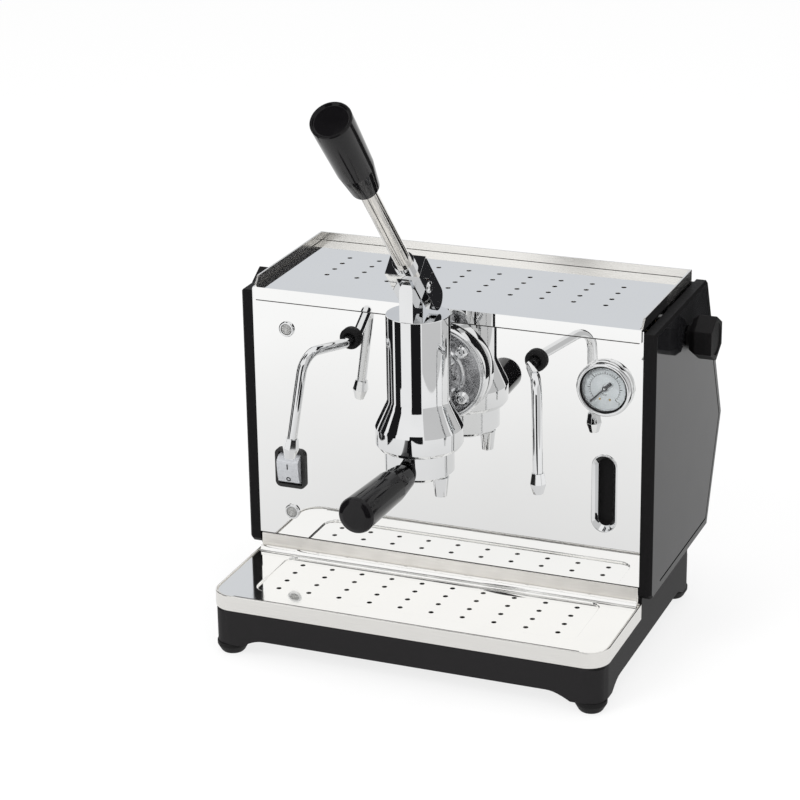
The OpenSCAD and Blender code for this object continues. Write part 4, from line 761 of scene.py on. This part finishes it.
rod_outline = [(0.0, 0.0187), (0.0065, 0.0187), (0.0065, 0.1755), (0.0, 0.1755)]
rod = turned("lever_shaft", rod_outline, lever_place, 64)
install(rod, "lever", "plain_steel", rod_steel, "lever_rod")
gloss_black = worked(finish("gloss_black_moulding", (0.0040, 0.0037, 0.0042), Specular_IOR_Level=0.26),
                     55.0, 0.07, 0.13, bump=0.02, tint=(0.0062, 0.0058, 0.0064))
grip_outline = [(0.00655, 0.1310), (0.0085, 0.1310, 0.0006), (0.0108, 0.1332, 0.0025),
                (0.0141, 0.1604, 0.002), (0.0153, 0.2050, 0.03), (0.0155, 0.2193, 0.0006),
                (0.0147, 0.2201, 0.0004), (0.0138, 0.2201, 0.0004), (0.0128, 0.2183, 0.0006),
                (0.0, 0.2175), (0.0, 0.1758), (0.00655, 0.1758), (0.00655, 0.1310)]
grip = turned("lever_handgrip", grip_outline, lever_place, 96, 20.0)
install(grip, "lever", "black_gloss", gloss_black, "lever_grip")


# ---------------------------------------------------------------- Portafilter
# A chromed brass cup with two ears in the bayonet collar, a twin spout screwed under it, and a
# moulded black handle on a steel stud.
PF_TURN = radians(-3.4)
HANDLE_Z, HANDLE_ROOT = 0.172, 0.0290
pf_body = break_edges(from_solid("portafilter_body", "portafilter_cup"), 0.0007, 3)
install(pf_body, "portafilter", "chromed", chrome, "portafilter_body")
spout = break_edges(from_solid("twin_spout", "spout_pair"), 0.0005, 3)
install(spout, "portafilter", "chromed", chrome, "twin_spout")
handle_outline = [(0.00405, 0.0006), (0.0088, 0.0006, 0.0005), (0.0104, 0.0026, 0.0016),
                  (0.0132, 0.0255, 0.0015), (0.0145, 0.0835, 0.0012), (0.0135, 0.0858, 0.0010),
                  (0.0095, 0.0875, 0.006), (0.0, 0.0880), (0.0, 0.0390), (0.00405, 0.0390),
                  (0.00405, 0.0006)]
handle_place = (Matrix.Translation((0.0, GROUP_Y, 0.0)) @ Matrix.Rotation(PF_TURN, 4, "Z")
                @ Matrix.Translation((0.0, -HANDLE_ROOT, HANDLE_Z)) @ Matrix.Rotation(radians(90), 4, "X"))
handle = turned("portafilter_grip", handle_outline, handle_place, 96, 20.0)
install(handle, "portafilter", "black_gloss", gloss_black, "portafilter_handle")


# ---------------------------------------------------------------- Studio
# A white sheet for a floor, broad soft lamps above, and cards out of the picture that give the
# polished metal something grey and dark to show. A white card at the panel's foot shows in the
# drip grid and the other metal in front of it.
FLOOR_SIZE = 8.0


def white_sheet(share, near, near_at, far_at):
    """The floor: a share of plain white to the camera, and in reflections a painted shade that greys it near
    the machine.
    """
    material = finish("white_sheet", (0.96, 0.96, 0.96), roughness=0.9, Specular_IOR_Level=0.0)
    tree = material.node_tree
    shader, out = tree.nodes["Principled BSDF"], tree.nodes["Material Output"]
    path, where = tree.nodes.new("ShaderNodeLightPath"), tree.nodes.new("ShaderNodeTexCoord")
    seen, part, length = (tree.nodes.new("ShaderNode" + kind) for kind in ("Math", "Math", "VectorMath"))
    ramp = tree.nodes.new("ShaderNodeMapRange")
    glow, mirrored = (tree.nodes.new("ShaderNodeEmission") for _ in range(2))
    direct, final = (tree.nodes.new("ShaderNodeMixShader") for _ in range(2))
    seen.operation, part.operation, length.operation = "MAXIMUM", "MULTIPLY", "LENGTH"
    part.inputs[1].default_value = share
    for socket, value in (("From Min", near_at), ("From Max", far_at), ("To Min", near), ("To Max", 1.0)):
        ramp.inputs[socket].default_value = value
    wire = tree.links.new
    wire(path.outputs["Is Camera Ray"], seen.inputs[0])
    wire(path.outputs["Is Transmission Ray"], seen.inputs[1])
    wire(seen.outputs["Value"], part.inputs[0])
    wire(part.outputs["Value"], direct.inputs["Fac"])
    wire(shader.outputs["BSDF"], direct.inputs[1])
    wire(glow.outputs["Emission"], direct.inputs[2])
    # Seen in reflections, the floor's glow darkens towards the machine as painted shade.
    wire(where.outputs["Object"], length.inputs[0])
    wire(length.outputs["Value"], ramp.inputs["Value"])
    wire(ramp.outputs["Result"], mirrored.inputs["Strength"])
    wire(path.outputs["Is Glossy Ray"], final.inputs["Fac"])
    wire(direct.outputs["Shader"], final.inputs[1])
    wire(mirrored.outputs["Emission"], final.inputs[2])
    wire(final.outputs["Shader"], out.inputs["Surface"])
    return material


bpy.ops.object.select_all(action="DESELECT")
bpy.ops.mesh.primitive_plane_add(size=FLOOR_SIZE)
floor = bpy.context.object
floor.name = "studio_floor"
floor.data.materials.append(white_sheet(share=0.80, near=0.78, near_at=0.20, far_at=0.80))

TO_CAMERA = Vector((0.3785, -0.9256, 0.0))
TO_RIGHT = Vector((0.9256, 0.3785, 0.0))
GROUP_AT = Vector((0.0, GROUP_Y, 0.0))
FLAG_SHADE, DARK_SHADE = (0.012, 0.012, 0.013), (0.02, 0.02, 0.022)
SHEET_LIFT = Vector((0.0, 0.0, 0.003))


def reflected_only(piece, name, shade):
    """Gives a stage piece an even shade and leaves it to reflections."""
    material = finish(name, (0.0, 0.0, 0.0), roughness=1.0, Specular_IOR_Level=0.0)
    shader = material.node_tree.nodes["Principled BSDF"]
    shader.inputs["Emission Color"].default_value = (*shade, 1.0)
    shader.inputs["Emission Strength"].default_value = 1.0
    piece.data.materials.append(material)
    piece.visible_camera = False
    piece.visible_diffuse = False
    piece.visible_shadow = False


def card(name, middle, facing, width, height, shade):
    """A flat card that only shows in reflections."""
    bpy.ops.object.select_all(action="DESELECT")
    bpy.ops.mesh.primitive_plane_add(size=1.0)
    board = bpy.context.object
    board.name = name
    turn = facing.to_track_quat("Z", "Y").to_matrix().to_4x4()
    board.matrix_world = Matrix.Translation(middle) @ turn @ Matrix.Diagonal((width, height, 1.0, 1.0))
    bpy.ops.object.transform_apply(location=True, rotation=True, scale=True)
    reflected_only(board, name, shade)
    return board


def around_group(angle, reach):
    """Point on the floor at an angle and a reach from the group, with 0 degrees towards the camera."""
    return GROUP_AT + (TO_CAMERA * cos(radians(angle)) + TO_RIGHT * sin(radians(angle))) * reach


def flag(name, angle_a, reach_a, angle_b, reach_b, low, high=0.6, shade=FLAG_SHADE):
    """An upright card between two points around the group."""
    first, last = around_group(angle_a, reach_a), around_group(angle_b, reach_b)
    middle, run = (first + last) / 2, last - first
    facing = Vector((-run.y, run.x, 0.0))
    card(name, Vector((middle.x, middle.y, (low + high) / 2)), facing, run.length, high - low, shade)


def sheet(name, angle_a, reach_a, angle_b, reach_b, outer):
    """A dark sheet on the floor between two angles, from its own reach to an outer one."""
    bpy.ops.object.select_all(action="DESELECT")
    bpy.ops.mesh.primitive_plane_add(size=1.0)
    piece = bpy.context.object
    piece.name = name
    rim = [(angle_a, reach_a), (angle_b, reach_b), (angle_a, outer), (angle_b, outer)]
    for corner, (angle, reach) in zip(piece.data.vertices, rim):
        corner.co = around_group(angle, reach) + SHEET_LIFT
    reflected_only(piece, name, FLAG_SHADE)


sheet("sheet_camera", -26.0, 0.64, 8.0, 0.56, 0.80)
flag("flag_camera", -26.0, 0.80, 8.0, 0.80, 0.0)
sheet("sheet_left", -90.0, 0.50, -68.0, 0.60, 0.82)
flag("flag_left", -90.0, 0.82, -63.0, 0.82, 0.0)
flag("flag_far_left", -128.0, 0.40, -98.0, 0.42, 0.05)
flag("grey_right", 12.0, 1.0, 85.0, 1.0, 0.0, 1.4, (0.66, 0.66, 0.66))
card("grey_backdrop", Vector((-0.80, 2.1, 1.1)), Vector((0.3, -1.0, -0.2)), 1.7, 1.5, (0.65, 0.67, 0.70))
card("dark_backdrop", Vector((1.40, 2.0, 1.15)), Vector((-0.35, -1.0, -0.2)), 2.4, 2.2, DARK_SHADE)
card("dark_floor_behind", Vector((0.60, 1.15, 0.003)), Vector((0.0, 0.0, 1.0)), 0.9, 0.8, (0.05, 0.05, 0.05))
card("dark_overhead", Vector((-0.57, -0.51, 1.77)), Vector((0.354, 0.278, -0.893)), 0.8, 0.8, DARK_SHADE)

SKY_STRENGTH = 0.80
world = bpy.data.worlds.new("studio")
bpy.context.scene.world = world
world.use_nodes = True
sky, sky_out = world.node_tree.nodes["Background"], world.node_tree.nodes["World Output"]
path, plain, mix = (world.node_tree.nodes.new("ShaderNode" + kind)
                    for kind in ("LightPath", "Background", "MixShader"))
seen, direct = (world.node_tree.nodes.new("ShaderNodeMath") for _ in range(2))
seen.operation = direct.operation = "MAXIMUM"
sky.inputs["Color"].default_value = (1.0, 1.0, 1.0, 1.0)
sky.inputs["Strength"].default_value = SKY_STRENGTH
plain.inputs["Color"].default_value = (1.0, 1.0, 1.0, 1.0)
plain.inputs["Strength"].default_value = 1.0
wires = world.node_tree.links
wires.new(path.outputs["Is Camera Ray"], seen.inputs[0])
wires.new(path.outputs["Is Glossy Ray"], seen.inputs[1])
wires.new(seen.outputs["Value"], direct.inputs[0])
wires.new(path.outputs["Is Transmission Ray"], direct.inputs[1])
wires.new(direct.outputs["Value"], mix.inputs["Fac"])
wires.new(sky.outputs["Background"], mix.inputs[1])
wires.new(plain.outputs["Background"], mix.inputs[2])
wires.new(mix.outputs["Shader"], sky_out.inputs["Surface"])

# The white card at the panel's foot is seen from its front alone.
WHITE_LOW, WHITE_HIGH, WHITE_W = 0.055, 0.105, 0.328
white_card = card("white_over_panel", Vector((0.0, PANEL_Y - 0.0006, (WHITE_LOW + WHITE_HIGH) / 2)),
                  Vector((0.0, -1.0, 0.0)), WHITE_W, WHITE_HIGH - WHITE_LOW, (0.97, 0.965, 0.95))
white_card.visible_transmission = False
front_only = white_card.data.materials[0].node_tree
side_seen = front_only.nodes.new("ShaderNodeNewGeometry")
turned_off = front_only.nodes.new("ShaderNodeMath")
turned_off.operation = "SUBTRACT"
turned_off.inputs[0].default_value = 1.0
front_only.links.new(side_seen.outputs["Backfacing"], turned_off.inputs[1])
front_only.links.new(turned_off.outputs["Value"], front_only.nodes["Principled BSDF"].inputs["Alpha"])
LAMP_AIM = Vector((0.0, 0.05, 0.18))


def soft_lamp(name, place, size, power):
    """A broad lamp aimed at the middle of the machine."""
    bpy.ops.object.select_all(action="DESELECT")
    bpy.ops.object.light_add(type="AREA", location=place)
    lamp = bpy.context.object
    lamp.name = name
    lamp.data.shape = "DISK"
    lamp.data.size = size
    lamp.data.energy = power
    lamp.visible_glossy = False
    lamp.rotation_euler = (LAMP_AIM - Vector(place)).to_track_quat("-Z", "Y").to_euler()


soft_lamp("lamp_left_front", (-1.2, -2.2, 2.0), 1.6, 44.0)
soft_lamp("lamp_right_front", (2.0, -1.6, 2.2), 1.4, 12.0)
soft_lamp("lamp_above", (0.0, 0.4, 2.8), 1.8, 20.0)


# ---------------------------------------------------------------- Camera
# Stands to the right of the machine and above it, as in the picture. It is rolled by a degree and
# has a long lens.
LOOK = Vector((-0.35438, 0.86666, -0.35118)).normalized()
TARGET = Vector((-0.0658, 0.07949, 0.1736))
DISTANCE, ROLL = 2.1469, radians(-0.9)
LENS_MM, SENSOR_MM, FAR_CLIP = 115.93, 36.0, 50.0
across = LOOK.cross(Vector((0.0, 0.0, 1.0))).normalized()
upright = across.cross(LOOK)
side_axis = across * cos(ROLL) + upright * sin(ROLL)
up_axis = upright * cos(ROLL) - across * sin(ROLL)
bpy.ops.object.select_all(action="DESELECT")
bpy.ops.object.camera_add()
camera = bpy.context.object
camera.name = "camera"
place = Matrix((side_axis, up_axis, -LOOK)).transposed().to_4x4()
place.translation = TARGET - LOOK * DISTANCE
camera.matrix_world = place
camera.data.lens = LENS_MM
camera.data.sensor_width = SENSOR_MM
camera.data.clip_end = FAR_CLIP
bpy.context.scene.camera = camera
